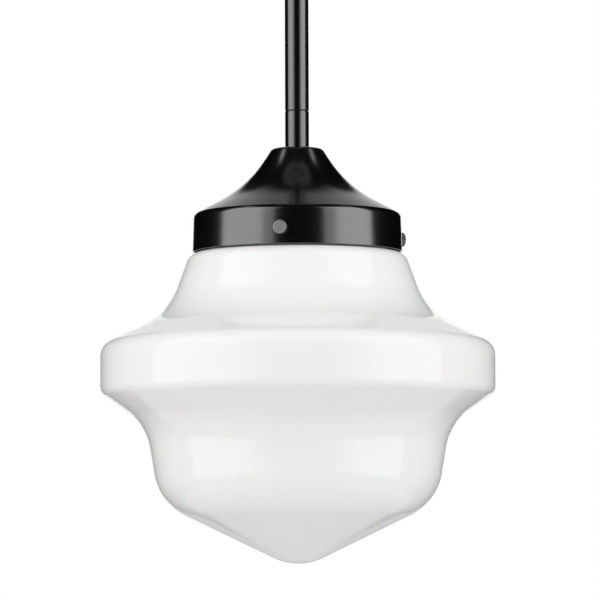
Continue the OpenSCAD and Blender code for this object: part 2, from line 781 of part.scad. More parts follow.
module leg_ground_screw() {
    color("#3f9a4c") translate([leg_inner_x - face_gap, 0, leg_screw_z]) rotate([0, -90, 0])
        round_screw(ground_screw_d, bracket_t, ground_head_d, ground_head_h);
}

// Tapped bushings that the thumb screws turn in, set against the inside of the band
module screw_bushings() {
    seat_face_r = (band_top_d / 2 - holder_wall) - face_gap;
    color("#8a8a86") for (i = [0:screw_count - 1]) rotate([0, 0, screw_angle(i)]) intersection() {
        translate([seat_face_r - bushing_l, 0, screw_axis_z]) rotate([0, 90, 0]) difference() {
            cylinder(d = bushing_d, h = bushing_l + over);
            translate([0, 0, -over]) cylinder(d = screw_d + 2 * thread_clear, h = bushing_l + 3 * over);
        }
        translate([0, 0, screw_axis_z - bushing_d]) cylinder(r = seat_face_r, h = 2 * bushing_d);
    }
}

// Outer outline of the glass from the top of its neck to the point and back up by mirror image
function shade_outline() = rounded_path([
    [glass_neck_r, lip_low_z, 0],
    [glass_neck_r, rim_z - collar_gap, neck_corner_r],
    [collar_d / 2, rim_z - collar_gap, collar_r],
    [shoulder_d / 2, rim_z - shoulder_z, flare_r],
    [shade_d / 2, rim_z - drum_top_z, drum_top_r],
    [shade_d / 2, rim_z - drum_low_z, drum_low_r],
    [waist_d / 2, rim_z - waist_z, waist_r],
    [foot_d / 2, rim_z - foot_z, foot_r],
    [0, rim_z - point_z, point_r],
    [-foot_d / 2, rim_z - foot_z, 0]
]);

module glass_shade() {
    outer = shade_outline();
    inner = right_half(inset_path(outer, glass_t));
    lip = rounded_path([
        [glass_neck_r - glass_t, lip_low_z, 0],
        [glass_neck_r - glass_t, lip_top_z, lip_edge_r],
        [lip_d / 2, lip_top_z, lip_edge_r],
        [lip_d / 2, lip_low_z, lip_edge_r],
        [glass_neck_r, lip_low_z, 0]
    ]);
    color("#f4f4f2") rotate_extrude() polygon(concat(lip, right_half(outer), reversed(inner)));
}

module live_lead() {
    color("#202020") wire(concat(
        [[live_place[0], live_place[1], lead_top_z]],
        smooth_route([
            [live_place[0], live_place[1], nipple_low_z + 2 * lead_step],
            [live_place[0], live_place[1], nipple_low_z],
            [0, live_place[1] + lead_step / 2, nipple_low_z - 1.5 * lead_step],
            [0, terminal_y / 2, (nipple_low_z + terminal_z) / 2],
            [0, terminal_y - tail_mouth, terminal_z + lead_step],
            [0, terminal_y, terminal_z]
        ], 4)
    ), [1, 0, 0]);
}

module neutral_lead() {
    color("#e8e6df") wire(concat(
        [[neutral_place[0], neutral_place[1], lead_top_z]],
        smooth_route([
            [neutral_place[0], neutral_place[1], nipple_low_z + 2 * lead_step],
            [neutral_place[0], neutral_place[1], nipple_low_z],
            [neutral_place[0], neutral_place[1] - lead_step / 2, nipple_low_z - 1.5 * lead_step],
            [-lead_step, -terminal_y / 2, (nipple_low_z + terminal_z) / 2],
            [0, tail_mouth - terminal_y, terminal_z + lead_step],
            [0, -terminal_y, terminal_z]
        ], 4)
    ), [1, 0, 0]);
}

module ground_lead() {
    end_x = leg_inner_x - ground_head_h - 2 * move_gap;
    color("#3f9a4c") wire(concat(
        [[ground_place[0], ground_place[1], lead_top_z]],
        smooth_route([
            [ground_place[0], ground_place[1], nipple_low_z + 2 * lead_step],
            [ground_place[0], ground_place[1], nipple_low_z],
            [ground_place[0] + 1.5 * lead_step, ground_place[1], nipple_low_z - 2 * lead_step],
            [end_x, 0, leg_screw_z]
        ], 4)
    ), [0, 1, 0]);
}

// Screw with a round grip head, pointing from the band to the glass neck
module thumb_screw(i) {
    tip_l = screw_head_r - screw_tip_r;
    head = rounded_path([
        [0, tip_l, 0],
        [screw_head_d / 2 - screw_head_slant, tip_l, 0],
        [screw_head_d / 2, tip_l + screw_head_slant_t, screw_head_slant_t],
        [screw_head_d / 2, tip_l + screw_head_t, screw_head_edge_r],
        [0, tip_l + screw_head_t, 0]
    ]);
    color("#8f8f8c") rotate([0, 0, screw_angle(i)]) translate([screw_tip_r, 0, screw_axis_z])
        rotate([0, 90, 0]) union() {
            cylinder(d = screw_d, h = tip_l + over / 2);
            rotate_extrude() polygon(head);
        }
}

module thumb_screw_1() {
    thumb_screw(0);
}

module thumb_screw_2() {
    thumb_screw(1);
}

module thumb_screw_3() {
    thumb_screw(2);
}

// Outline of the bulb from the top of its housing round the globe's bottom and back by mirror image
function bulb_outline() = rounded_path([
    [housing_top_r, base_low_z - face_gap, 0],
    [housing_top_r, housing_top_z, housing_neck_r],
    [bulb_d / 2, housing_low_z, housing_bend_r],
    [bulb_d / 2, bulb_low_z, bulb_d / 2],
    [-bulb_d / 2, bulb_low_z, 0]
]);

module bulb_slice(low_z, top_z) {
    intersection() {
        spun_sheet(bulb_outline(), bulb_wall);
        translate([0, 0, low_z]) cylinder(d = 2 * bulb_d, h = top_z - low_z);
    }
}

module bulb_globe() {
    color("#f2f1ec") bulb_slice(bulb_low_z - over, globe_cut_z - face_gap);
}

module bulb_housing() {
    color("#e6e5e0") bulb_slice(globe_cut_z, base_low_z);
}

module bulb_base() {
    color("#b9b9b5") spun_sheet(rounded_path([
        [base_cap_r, base_top_z, 0],
        [base_d / 2, base_top_z - base_slope, base_edge_r],
        [base_d / 2, base_low_z, 0]
    ]), base_wall);
}

module bulb_insulator() {
    seat_z = base_top_z - 2 * base_wall;
    color("#2a2a2a") rotate_extrude() polygon([
        [0, seat_z], [base_cap_r - 2 * base_wall, seat_z], [base_cap_r - base_wall, base_top_z],
        [contact_d / 2, insulator_top_z], [0, insulator_top_z]
    ]);
}

module bulb_contact() {
    tip_low_z = insulator_top_z + face_gap;
    color("#c9a85a") rotate_extrude() polygon(rounded_path([
        [0, tip_low_z, 0], [bulb_contact_r, tip_low_z, 0],
        [bulb_contact_r, bulb_top_z, base_wall], [0, bulb_top_z, 0]
    ]));
}

// Round board of light sources that fits across the inside of the housing
module led_board() {
    color("#e9ecef") {
        translate([0, 0, board_low_z]) cylinder(r = board_r, h = board_t);
        for (i = [0:led_count - 1]) rotate([0, 0, i * 360 / led_count])
            translate([board_r - 2 * led_d, 0, board_low_z - led_h])
                cylinder(d = led_d, h = led_h + face_gap);
    }
}

canopy();
crossbar();
canopy_studs();
stud_nuts();
canopy_knobs();
bar_ground_screw();
wire_nuts();
live_tail();
neutral_tail();
ground_tail();
swivel_seat();
swivel_ball();
swivel_nipple();
stem_rod();
coupling_nipple();
stem_neck();
holder_nipple();
shade_holder();
socket_bracket();
lock_washer();
holder_nut();
socket_body();
socket_shell();
socket_contact();
bracket_screws();
terminal_screws();
leg_ground_screw();
screw_bushings();
glass_shade();
live_lead();
neutral_lead();
ground_lead();
thumb_screw_1();
thumb_screw_2();
thumb_screw_3();
bulb_globe();
bulb_housing();
bulb_base();
bulb_insulator();
bulb_contact();
led_board();
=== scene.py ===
"""Looks of a mini pendant light: black stem and spun holder, opal glass shade and inner fittings.

Lengths are metres in the part's own frame: +Z up, the ceiling plane at Z = 0, the light below.
"""

import json
import logging
import math
from collections.abc import Iterable
from dataclasses import dataclass
from enum import Enum

import bmesh
import bpy
from bmesh.types import BMEdge, BMesh, BMFace, BMVert
from bpy.types import NodeSocket, Object
from mathutils import Matrix, Vector


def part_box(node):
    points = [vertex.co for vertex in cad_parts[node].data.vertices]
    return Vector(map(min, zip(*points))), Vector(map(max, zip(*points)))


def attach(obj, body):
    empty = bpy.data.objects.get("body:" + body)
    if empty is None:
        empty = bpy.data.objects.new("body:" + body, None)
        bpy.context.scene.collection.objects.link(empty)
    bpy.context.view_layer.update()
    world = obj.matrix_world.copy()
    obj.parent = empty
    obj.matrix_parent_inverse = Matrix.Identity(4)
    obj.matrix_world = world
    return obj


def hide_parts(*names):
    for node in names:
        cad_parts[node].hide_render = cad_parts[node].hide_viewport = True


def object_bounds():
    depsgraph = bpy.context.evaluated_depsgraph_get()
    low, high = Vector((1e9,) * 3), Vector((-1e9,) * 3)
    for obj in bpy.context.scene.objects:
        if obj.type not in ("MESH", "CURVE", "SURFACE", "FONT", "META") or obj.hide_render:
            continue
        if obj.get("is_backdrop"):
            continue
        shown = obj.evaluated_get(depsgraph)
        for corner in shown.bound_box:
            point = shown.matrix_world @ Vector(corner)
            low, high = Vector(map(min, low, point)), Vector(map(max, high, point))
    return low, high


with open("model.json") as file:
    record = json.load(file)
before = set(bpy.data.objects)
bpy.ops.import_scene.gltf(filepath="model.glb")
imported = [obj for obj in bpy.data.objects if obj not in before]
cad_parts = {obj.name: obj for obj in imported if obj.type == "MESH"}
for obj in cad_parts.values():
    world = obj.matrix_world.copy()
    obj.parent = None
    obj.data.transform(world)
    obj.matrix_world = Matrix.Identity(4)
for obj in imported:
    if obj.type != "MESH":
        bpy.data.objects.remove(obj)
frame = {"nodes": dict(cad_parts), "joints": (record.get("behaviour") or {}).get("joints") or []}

MM = 0.001
TURN = 2 * math.pi
MERGE = 0.001 * MM
HOLE_SEGMENTS = 48
SHEET_EDGE_SHARE = 0.45
AXIS_DISTANCE = "axis_distance"
WIRES = {"live": "black", "neutral": "white", "ground": "green"}
LOG = logging.getLogger("pendant")


class Body(Enum):
    """The bodies of the part that pieces ride on."""

    CEILING = "ceiling_mount"
    PENDANT = "pendant"
    FRONT_SCREW = "front_screw"
    RIGHT_SCREW = "right_screw"
    REAR_SCREW = "rear_screw"
    BULB = "bulb"


class Value:
    """A number that a node gives, on which Python arithmetic adds Math nodes."""

    def __init__(self, paint: "Paint", socket: NodeSocket) -> None:
        """Wraps an output of a node in the paint's tree."""
        self.paint = paint
        self.socket = socket

    def math(self, operation: str, *operands: "Value | float") -> "Value":
        """Adds one Math node.

        Args:
            operation: The node's operation.
            operands: What its sockets hold, in order.

        Returns:
            The node's result.
        """
        inputs = dict(enumerate(operands))
        node = self.paint.node("ShaderNodeMath", {"operation": operation}, inputs)
        return Value(self.paint, node.outputs[0])

    def __add__(self, other: "Value | float") -> "Value":
        """The sum."""
        return self.math("ADD", self, other)

    __radd__ = __add__

    def __sub__(self, other: "Value | float") -> "Value":
        """The difference."""
        return self.math("SUBTRACT", self, other)

    def __rsub__(self, other: "Value | float") -> "Value":
        """The difference, where the value is what's taken away."""
        return self.math("SUBTRACT", other, self)

    def __mul__(self, other: "Value | float") -> "Value":
        """The product."""
        return self.math("MULTIPLY", self, other)

    __rmul__ = __mul__

    def __gt__(self, other: "Value | float") -> "Value":
        """1 where the value is greater, and 0 elsewhere."""
        return self.math("GREATER_THAN", self, other)

    def wave(self) -> "Value":
        """The sine."""
        return self.math("SINE", self)

    def between(self, low: float, high: float) -> "Value":
        """Takes a value from 0 to 1 to the range from low to high."""
        return self * (high - low) + low


class Paint:
    """The node tree of one material, or of the world."""

    def __init__(self, tree: bpy.types.NodeTree) -> None:
        """Empties the tree that the nodes are added to."""
        self.tree = tree
        self.tree.nodes.clear()

    def node(
        self, kind: str, settings: dict | None = None, inputs: dict | None = None
    ) -> bpy.types.Node:
        """Adds a node.

        Args:
            kind: The node's type.
            settings: Its settings, set first.
            inputs: What its sockets hold, by name or number: numbers, tuples, sockets or Values.

        Returns:
            The new node.
        """
        made = self.tree.nodes.new(kind)
        for name, setting in (settings or {}).items():
            setattr(made, name, setting)
        for name, given in (inputs or {}).items():
            socket = made.inputs[name]
            given = given.socket if isinstance(given, Value) else given
            if isinstance(given, NodeSocket):
                self.tree.links.new(given, socket)
            else:
                socket.default_value = given
        return made

    def place(self) -> NodeSocket:
        """The surface's own place, in object coordinates."""
        return self.node("ShaderNodeTexCoord").outputs["Object"]

    def noise(self, scale: float, detail: float = 2.0) -> Value:
        """Soft noise from 0 to 1, with a scale in blotches per metre and octaves of detail."""
        inputs = {"Vector": self.place(), "Scale": scale, "Detail": detail}
        return Value(self, self.node("ShaderNodeTexNoise", None, inputs).outputs["Fac"])

    def blend(self, share: Value, first: tuple, second: tuple) -> NodeSocket:
        """Mixes two colours, where the share is the part of the second."""
        # The colour sockets go by number, since the node's number sockets have the same names.
        inputs = {0: share, 6: (*first, 1), 7: (*second, 1)}
        return self.node("ShaderNodeMix", {"data_type": "RGBA"}, inputs).outputs[2]

    def relief(self, height: Value, depth: float) -> NodeSocket:
        """The normal of a relief whose height runs from 0 to 1, with its depth in metres."""
        return self.node("ShaderNodeBump", None, {"Height": height, "Distance": depth}).outputs[0]

    def matte(self, grey: float) -> None:
        """Ends a material in a plain grey without gloss."""
        self.surface({"Base Color": (*(grey,) * 3, 1), "Roughness": 1.0, "Specular IOR Level": 0.0})

    def surface(self, inputs: dict) -> None:
        """Ends a material in a Principled shader with these sockets."""
        shader = self.node("ShaderNodeBsdfPrincipled", None, inputs)
        self.node("ShaderNodeOutputMaterial", None, {"Surface": shader.outputs[0]})


@dataclass(frozen=True)
class Finish:
    """A finish of two close colours, a range of roughness and a fine relief.

    Attributes:
        slot: The record's slot that it fills.
        base: Its main colour.
        tint: The colour of its blotches.
        rough: The roughness of the base and of the tint.
        metallic: 1 for bare metal.
        cloud: Blotches of the tint in a metre.
        grain: Grains of the relief in a metre.
        depth: The relief's depth.
        own: Sockets that only this finish sets.
    """

    slot: str
    base: tuple[float, float, float]
    tint: tuple[float, float, float]
    rough: tuple[float, float]
    metallic: float = 0.0
    cloud: float = 60.0
    grain: float = 1500.0
    depth: float = 0.01 * MM
    own: tuple[tuple[str, float], ...] = ()

    def share(self, paint: Paint) -> Value:
        """How much of the tint shows."""
        return paint.noise(self.cloud, detail=4)

    def height(self, paint: Paint) -> Value:
        """The relief, from 0 to 1."""
        return paint.noise(self.grain)

    def material(self) -> bpy.types.Material:
        """Makes the material.

        Returns:
            The material, named after the record's slot.
        """
        made = bpy.data.materials.new(self.slot)
        made.use_nodes = True
        paint = Paint(made.node_tree)
        share = self.share(paint)
        paint.surface({
            "Base Color": paint.blend(share, self.base, self.tint),
            "Roughness": share.between(*self.rough),
            "Metallic": self.metallic,
            "Normal": paint.relief(self.height(paint), self.depth),
            **dict(self.own),
        })
        made.diffuse_color = (*self.base, 1)
        return made


@dataclass(frozen=True)
class TurnedFinish(Finish):
    """Metal with fine lathe rings on a pale face, and painted shade: the flank round the face is
    painted dark.
    """

    pitch: float = 0.22 * MM
    face: float = 3.5 * MM
    # How strongly the flank outside the face is painted dark, as painted shade.
    painted_flank_shade: float = 0.8
    ring_share: float = 0.7

    def away(self, paint: Paint) -> Value:
        """The distance from the piece's own axis."""
        node = paint.node("ShaderNodeAttribute", {"attribute_name": AXIS_DISTANCE})
        return Value(paint, node.outputs["Fac"])

    def share(self, paint: Paint) -> Value:
        """Painted shade: the dark tint outside the face, and a little random unevenness."""
        uneven = paint.noise(self.cloud, detail=4) * (1 - self.painted_flank_shade)
        # Painted shade: past the face's radius the head is painted in the dark tint.
        return (self.away(paint) > self.face) * self.painted_flank_shade + uneven

    def height(self, paint: Paint) -> Value:
        """Rings at even distances from the axis, over a fine grain."""
        rings = (self.away(paint) * (TURN / self.pitch)).wave().between(0.5, 1.0)
        return rings * self.ring_share + paint.noise(self.grain, detail=3) * (1 - self.ring_share)


@dataclass(frozen=True)
class SpangledFinish(Finish):
    """Zinc plating, with the flat crystals that it grows."""

    crystal_share: float = 0.6

    def share(self, paint: Paint) -> Value:
        """A different shade for each crystal.

        Args:
            paint: The material's node tree.

        Returns:
            The part of the tint, from 0 to 1.
        """
        inputs = {"Vector": paint.place(), "Scale": self.cloud}
        cells = paint.node("ShaderNodeTexVoronoi", None, inputs).outputs["Color"]
        grey = paint.node("ShaderNodeSeparateColor", None, {"Color": cells}).outputs[0]
        uneven = paint.noise(self.grain) * (1 - self.crystal_share)
        return Value(paint, grey) * self.crystal_share + uneven


def glow(weight: float, scale: float) -> tuple[tuple[str, float], ...]:
    """Light that sinks into a white material, down to a scale in millimetres."""
    return ("Subsurface Weight", weight), ("Subsurface Scale", scale * MM)


SATIN = (("IOR", 2.25), ("Coat Weight", 1.0), ("Coat Roughness", 0.18))
FINISHES = (
    Finish(
        "black_metal", (0.0014,) * 3, (0.0022,) * 3, (0.18, 0.21),
        cloud=40, grain=2200, depth=0.001 * MM, own=SATIN,
    ),
    Finish(
        "opal_glass", (0.89, 0.89, 0.885), (0.875, 0.875, 0.87), (0.08, 0.11),
        cloud=14, grain=45, depth=0.02 * MM, own=(("IOR", 1.45), *glow(0.25, 1.5)),
    ),
    # The nickel's dark second colour is painted shade on the flank of each screw head.
    TurnedFinish(
        "grey_nickel", (0.5, 0.5, 0.495), (0.07, 0.07, 0.07), (0.6, 0.3),
        metallic=1, cloud=900, grain=2600, depth=0.02 * MM,
    ),
    SpangledFinish(
        "zinc_steel", (0.6, 0.61, 0.62), (0.46, 0.47, 0.48), (0.28, 0.45),
        metallic=1, cloud=320, grain=2500,
    ),
    Finish(
        "green_screw", (0.05, 0.3, 0.09), (0.03, 0.2, 0.06), (0.3, 0.42),
        metallic=0.7, cloud=500, grain=2500,
    ),
    Finish(
        "orange_plastic", (0.72, 0.27, 0.05), (0.62, 0.21, 0.035), (0.38, 0.5),
        cloud=200, grain=1800,
    ),
    Finish(
        "black_insulation", (0.016, 0.016, 0.017), (0.026, 0.026, 0.027), (0.4, 0.5),
        cloud=200, grain=1600,
    ),
    Finish(
        "white_insulation", (0.74, 0.73, 0.7), (0.66, 0.65, 0.61), (0.4, 0.5),
        cloud=200, grain=1600,
    ),
    Finish(
        "green_insulation", (0.05, 0.3, 0.1), (0.04, 0.23, 0.07), (0.4, 0.5),
        cloud=200, grain=1600,
    ),
    Finish(
        "nylon", (0.78, 0.76, 0.7), (0.72, 0.7, 0.63), (0.42, 0.55),
        cloud=120, grain=1200, own=glow(0.15, 2),
    ),
    Finish(
        "brass", (0.66, 0.46, 0.17), (0.5, 0.33, 0.11), (0.22, 0.38),
        metallic=1, cloud=250, grain=2200,
    ),
    Finish(
        "porcelain", (0.82, 0.81, 0.77), (0.76, 0.75, 0.7), (0.12, 0.2),
        cloud=160, grain=500, depth=0.02 * MM,
    ),
    Finish(
        "bulb_diffuser", (0.83, 0.82, 0.79), (0.79, 0.78, 0.74), (0.35, 0.45),
        cloud=80, own=glow(0.3, 3),
    ),
    Finish("bulb_plastic", (0.76, 0.76, 0.74), (0.71, 0.71, 0.68), (0.4, 0.5), cloud=120),
    Finish(
        "bulb_metal", (0.7, 0.7, 0.69), (0.57, 0.57, 0.56), (0.2, 0.34),
        metallic=1, cloud=260, grain=2200,
    ),
    Finish(
        "black_glass", (0.012, 0.012, 0.013), (0.02, 0.02, 0.022), (0.08, 0.16),
        cloud=300, grain=900,
    ),
    Finish(
        "board", (0.76, 0.78, 0.79), (0.7, 0.72, 0.73), (0.42, 0.55), cloud=300, grain=2400
    ),
)


@dataclass(frozen=True)
class Corner:
    """A corner of an outline beside the axis, with the radius that rounds it."""

    radius: float
    height: float
    fillet: float = 0.0

    @property
    def at(self) -> Vector:
        """Its place in the XZ plane."""
        return Vector((self.radius, 0, self.height))

    @property
    def mirrored(self) -> "Corner":
        """The same corner on the other side of the axis."""
        return Corner(-self.radius, self.height, self.fillet)


class Outline:
    """An outline beside the axis, with straight runs between rounded corners."""

    STEP = math.radians(4)

    def __init__(self, corners: Iterable[Corner], share: float = 1.0, closed: bool = False) -> None:
        """Keeps the corners, with fillets that fit their runs.

        Args:
            corners: The corners in order. An end on the axis may have a fillet: it rounds a pole.
            share: The most that a fillet takes of a run.
            closed: Whether the last corner joins the first.
        """
        given = list(corners)
        self.closed = closed
        self.corners = [self._fitted(given, i, share) for i in range(len(given))]

    def _neighbours(self, corners: list[Corner], i: int) -> tuple[Corner, Corner]:
        """The corners before and after one, mirrored in the axis at an open end.

        Args:
            corners: All the corners.
            i: The corner's number.

        Returns:
            The one before and the one after.
        """
        last = len(corners) - 1
        if self.closed:
            return corners[i - 1], corners[(i + 1) % (last + 1)]
        before = corners[i - 1] if i > 0 else corners[1].mirrored
        after = corners[i + 1] if i < last else corners[last - 1].mirrored
        return before, after

    def _fitted(self, corners: list[Corner], i: int, share: float) -> Corner:
        """Fits a corner's fillet to its runs.

        Args:
            corners: All the corners.
            i: The corner's number.
            share: The most that the fillet takes of each run.

        Returns:
            The corner with a fillet that fits.
        """
        here = corners[i]
        if here.fillet == 0:
            return here
        before, after = self._neighbours(corners, i)
        half = (before.at - here.at).angle(after.at - here.at) / 2
        run = min((before.at - here.at).length, (after.at - here.at).length)
        return Corner(here.radius, here.height, min(here.fillet, share * run * math.tan(half)))

    def inset(self, wall: float) -> list[Corner]:
        """Moves the outline to the right of the way that it runs.

        Args:
            wall: The distance.

        Returns:
            The moved corners, with fillets that keep the arcs concentric.
        """
        moved = []
        last = len(self.corners) - 1
        for i, here in enumerate(self.corners):
            before, after = self._neighbours(self.corners, i)
            # A plain end has one run. A rounded pole has a second one, mirrored in the axis.
            at_pole = here.radius == 0 and here.fillet > 0
            onward = (after.at - here.at).normalized()
            into = (here.at - before.at).normalized() if i > 0 else onward
            out = onward if i < last or at_pole else into
            sides = [Vector((way.z, 0, -way.x)) for way in (into, out)]
            place = here.at + (sides[0] + sides[1]) * wall / (1 + sides[0].dot(sides[1]))
            turn = into.x * out.z - into.z * out.x
            fillet = here.fillet + (wall if turn > 0 else -wall) if here.fillet > 0 else 0.0
            moved.append(Corner(place.x, place.z, max(0.0, fillet)))
        return moved

    def draw(self, mesh: BMesh) -> None:
        """Draws the outline in the XZ plane, with extruded runs and spun fillets.

        Args:
            mesh: The mesh that the outline goes into.
        """
        first = tip = None
        last = len(self.corners) - 1
        for i, here in enumerate(self.corners):
            arc = self._arc(i) if here.fillet > 0 else None
            start = arc[0] if arc else here.at
            # Only half of a pole's fillet lies beside the axis.
            if not self.closed and i == 0 and arc:
                start = arc[1] + (here.at - arc[1]).normalized() * here.fillet
            if tip is None:
                first = tip = mesh.verts.new(start)
            else:
                tip = self._run(mesh, tip, start)
            if arc:
                _, centre, axis, sweep = arc
                sweep = sweep / 2 if not self.closed and i in (0, last) else sweep
                tip = self._spin(mesh, tip, centre, axis, sweep)
        if self.closed:
            mesh.edges.new((tip, first))

    def _arc(self, i: int) -> tuple[Vector, Vector, Vector, float]:
        """Works out a corner's fillet.

        Args:
            i: The corner's number.

        Returns:
            The fillet's start, centre, axis and sweep.
        """
        here = self.corners[i]
        before, after = self._neighbours(self.corners, i)
        to_before = (before.at - here.at).normalized()
        to_after = (after.at - here.at).normalized()
        half = to_before.angle(to_after) / 2
        reach = here.fillet / math.tan(half)
        centre = here.at + (to_before + to_after).normalized() * here.fillet / math.sin(half)
        start = here.at + to_before * reach
        end = here.at + to_after * reach
        return start, centre, (start - centre).cross(end - centre).normalized(), math.pi - 2 * half

    def _run(self, mesh: BMesh, tip: BMVert, to: Vector) -> BMVert:
        """Extrudes the tip along a straight run.

        Args:
            mesh: The mesh that the outline goes into.
            tip: The last vertex.
            to: Where the run ends.

        Returns:
            The new last vertex.
        """
        if (to - tip.co).length < MERGE:
            return tip
        grown = bmesh.ops.extrude_vert_indiv(mesh, verts=[tip])["verts"][0]
        bmesh.ops.translate(mesh, verts=[grown], vec=to - tip.co)
        return grown

    def _spin(
        self, mesh: BMesh, tip: BMVert,
        centre: Vector, axis: Vector, sweep: float,
    ) -> BMVert:
        """Spins the tip round a fillet's centre.

        Args:
            mesh: The mesh that the outline goes into.
            tip: The last vertex.
            centre: The fillet's centre.
            axis: The axis of the turn.
            sweep: The angle of the turn.

        Returns:
            The new last vertex.
        """
        steps = max(2, math.ceil(sweep / self.STEP))
        spun = bmesh.ops.spin(
            mesh, geom=[tip], cent=centre, axis=axis, angle=sweep, steps=steps, use_merge=False
        )["geom_last"]
        return verts_of(spun)[0]


def lathe(outline: Outline, segments: int) -> BMesh:
    """Turns an outline round the Z axis.

    Args:
        outline: The outline beside the axis.
        segments: Steps in the full turn.

    Returns:
        A mesh with its doubles merged and its faces outwards.
    """
    mesh = bmesh.new()
    outline.draw(mesh)
    geometry = mesh.verts[:] + mesh.edges[:]
    bmesh.ops.spin(
        mesh, geom=geometry, cent=(0, 0, 0), axis=(0, 0, 1),
        angle=TURN, steps=segments, use_merge=True,
    )
    bmesh.ops.remove_doubles(mesh, verts=mesh.verts, dist=MERGE)
    bmesh.ops.recalc_face_normals(mesh, faces=mesh.faces)
    return mesh


def sheet_of(outer: Outline, wall: float) -> Outline:
    """Gives an outline the thickness of sheet metal, with rounded edges.

    Args:
        outer: The outer side, whose inner side lies to the right of the way that it runs.
        wall: The sheet's thickness.

    Returns:
        The closed outline of both sides.
    """
    edge = SHEET_EDGE_SHARE * wall
    sides = outer.corners + outer.inset(wall)[::-1]
    middle = len(outer.corners)
    ends = (0, middle - 1, middle, len(sides) - 1)
    rounded = [Corner(c.radius, c.height, edge) if i in ends else c for i, c in enumerate(sides)]
    return Outline(rounded, closed=True)


def threaded(radius: float, depth: float, pitch: float, low: float, high: float) -> list[Corner]:
    """Corners up a thread between two heights, which starts and ends at its root.

    Args:
        radius: The thread's crest.
        depth: The depth from crest to root.
        pitch: About the distance between crests.
        low: The lower height.
        high: The upper height.

    Returns:
        The corners from the lower height to the upper.
    """
    turns = max(1, round((high - low) / pitch))
    step = (high - low) / turns
    corners = [Corner(radius - depth, low)]
    for turn in range(turns):
        corners.append(Corner(radius, low + (turn + 0.5) * step))
        corners.append(Corner(radius - depth, low + (turn + 1) * step))
    return corners


def flute(
    mesh: BMesh, rows: int, shrink: float, low: float, high: float, least: float
) -> None:
    """Draws every second row of a turned shape inwards, which leaves ridges along it.

    Args:
        mesh: A shape turned about Z.
        rows: Ridges and grooves in its full turn.
        shrink: What the radius is multiplied by in a groove.
        low: Grooves lie above this height.
        high: Grooves lie below this height.
        least: Grooves lie outside this radius.
    """
    grooves = [
        vertex for vertex in mesh.verts
        if low < vertex.co.z < high and math.hypot(vertex.co.x, vertex.co.y) > least
        and round(math.atan2(vertex.co.y, vertex.co.x) / TURN * rows) % 2
    ]
    bmesh.ops.scale(mesh, vec=(shrink, shrink, 1), verts=grooves)


def round_bar(radius: float, length: float, place: Matrix) -> BMesh:
    """Makes a cutter for a round hole.

    Args:
        radius: The hole's radius.
        length: The cutter's length.
        place: Its middle and the way of its axis.

    Returns:
        The closed cutter.
    """
    mesh = bmesh.new()
    bmesh.ops.create_cone(
        mesh, cap_ends=True, segments=HOLE_SEGMENTS,
        radius1=radius, radius2=radius, depth=length, matrix=place,
    )
    return mesh


def whole(mesh: BMesh) -> list[BMVert | BMEdge | BMFace]:
    """Every vertex, edge and face of a mesh."""
    return mesh.verts[:] + mesh.edges[:] + mesh.faces[:]


def verts_of(parts: Iterable) -> list[BMVert]:
    """The vertices among the parts of a mesh."""
    return [part for part in parts if isinstance(part, BMVert)]


def radius_of(node: str) -> float:
    """Half the width of a node that is centred on the light's axis."""
    low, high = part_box(node)
    return (high.x - low.x) / 2


class Workshop:
    """Turns meshes into dressed pieces that ride on a body."""

    SHARP = math.radians(32)

    def __init__(self) -> None:
        """Makes every finish once."""
        self.materials = {finish.slot: finish.material() for finish in FINISHES}

    def piece(
        self, mesh: BMesh, name: str, body: Body, slot: str, *nodes: str
    ) -> Object:
        """Makes a piece of a mesh that is in its place.

        Args:
            mesh: The shape, freed here.
            name: The piece's name.
            body: The body that it rides on.
            slot: The record's slot that it takes its finish from.
            nodes: The CAD nodes that it stands for.

        Returns:
            The new object.
        """
        data = bpy.data.meshes.new(name)
        mesh.to_mesh(data)
        mesh.free()
        data.shade_smooth()
        data.set_sharp_from_angle(angle=self.SHARP)
        data.materials.append(self.materials[slot])
        made = bpy.data.objects.new(name, data)
        bpy.context.scene.collection.objects.link(made)
        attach(made, body.value)
        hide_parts(*nodes)
        LOG.info("%s: %d faces on %s", name, len(data.polygons), body.value)
        return made

    def drill(self, piece: Object, cutters: Iterable[BMesh]) -> None:
        """Cuts shapes out of a piece.

        Args:
            piece: The piece that is cut.
            cutters: Closed shapes in their place, freed here.
        """
        for cutter in cutters:
            data = bpy.data.meshes.new("cutter")
            cutter.to_mesh(data)
            cutter.free()
            tool = bpy.data.objects.new("cutter", data)
            bpy.context.scene.collection.objects.link(tool)
            cut = piece.modifiers.new("cut", "BOOLEAN")
            cut.operation = "DIFFERENCE"
            cut.solver = "EXACT"
            cut.object = tool
            depsgraph = bpy.context.evaluated_depsgraph_get()
            data = bpy.data.meshes.new_from_object(piece.evaluated_get(depsgraph))
            piece.modifiers.remove(cut)
            data.name = piece.data.name
            piece.data = data
            bpy.data.objects.remove(tool)
        piece.data.shade_smooth()
        piece.data.set_sharp_from_angle(angle=self.SHARP)

    def dress(self, slot: str, *nodes: str) -> None:
        """Gives CAD nodes that stay a finish.

        Args:
            slot: The finish's slot.
            nodes: The nodes' names.
        """
        for node in nodes:
            for place in frame["nodes"][node].material_slots:
                place.link = "OBJECT"
                place.material = self.materials[slot]
            LOG.info("%s dressed in %s", node, slot)


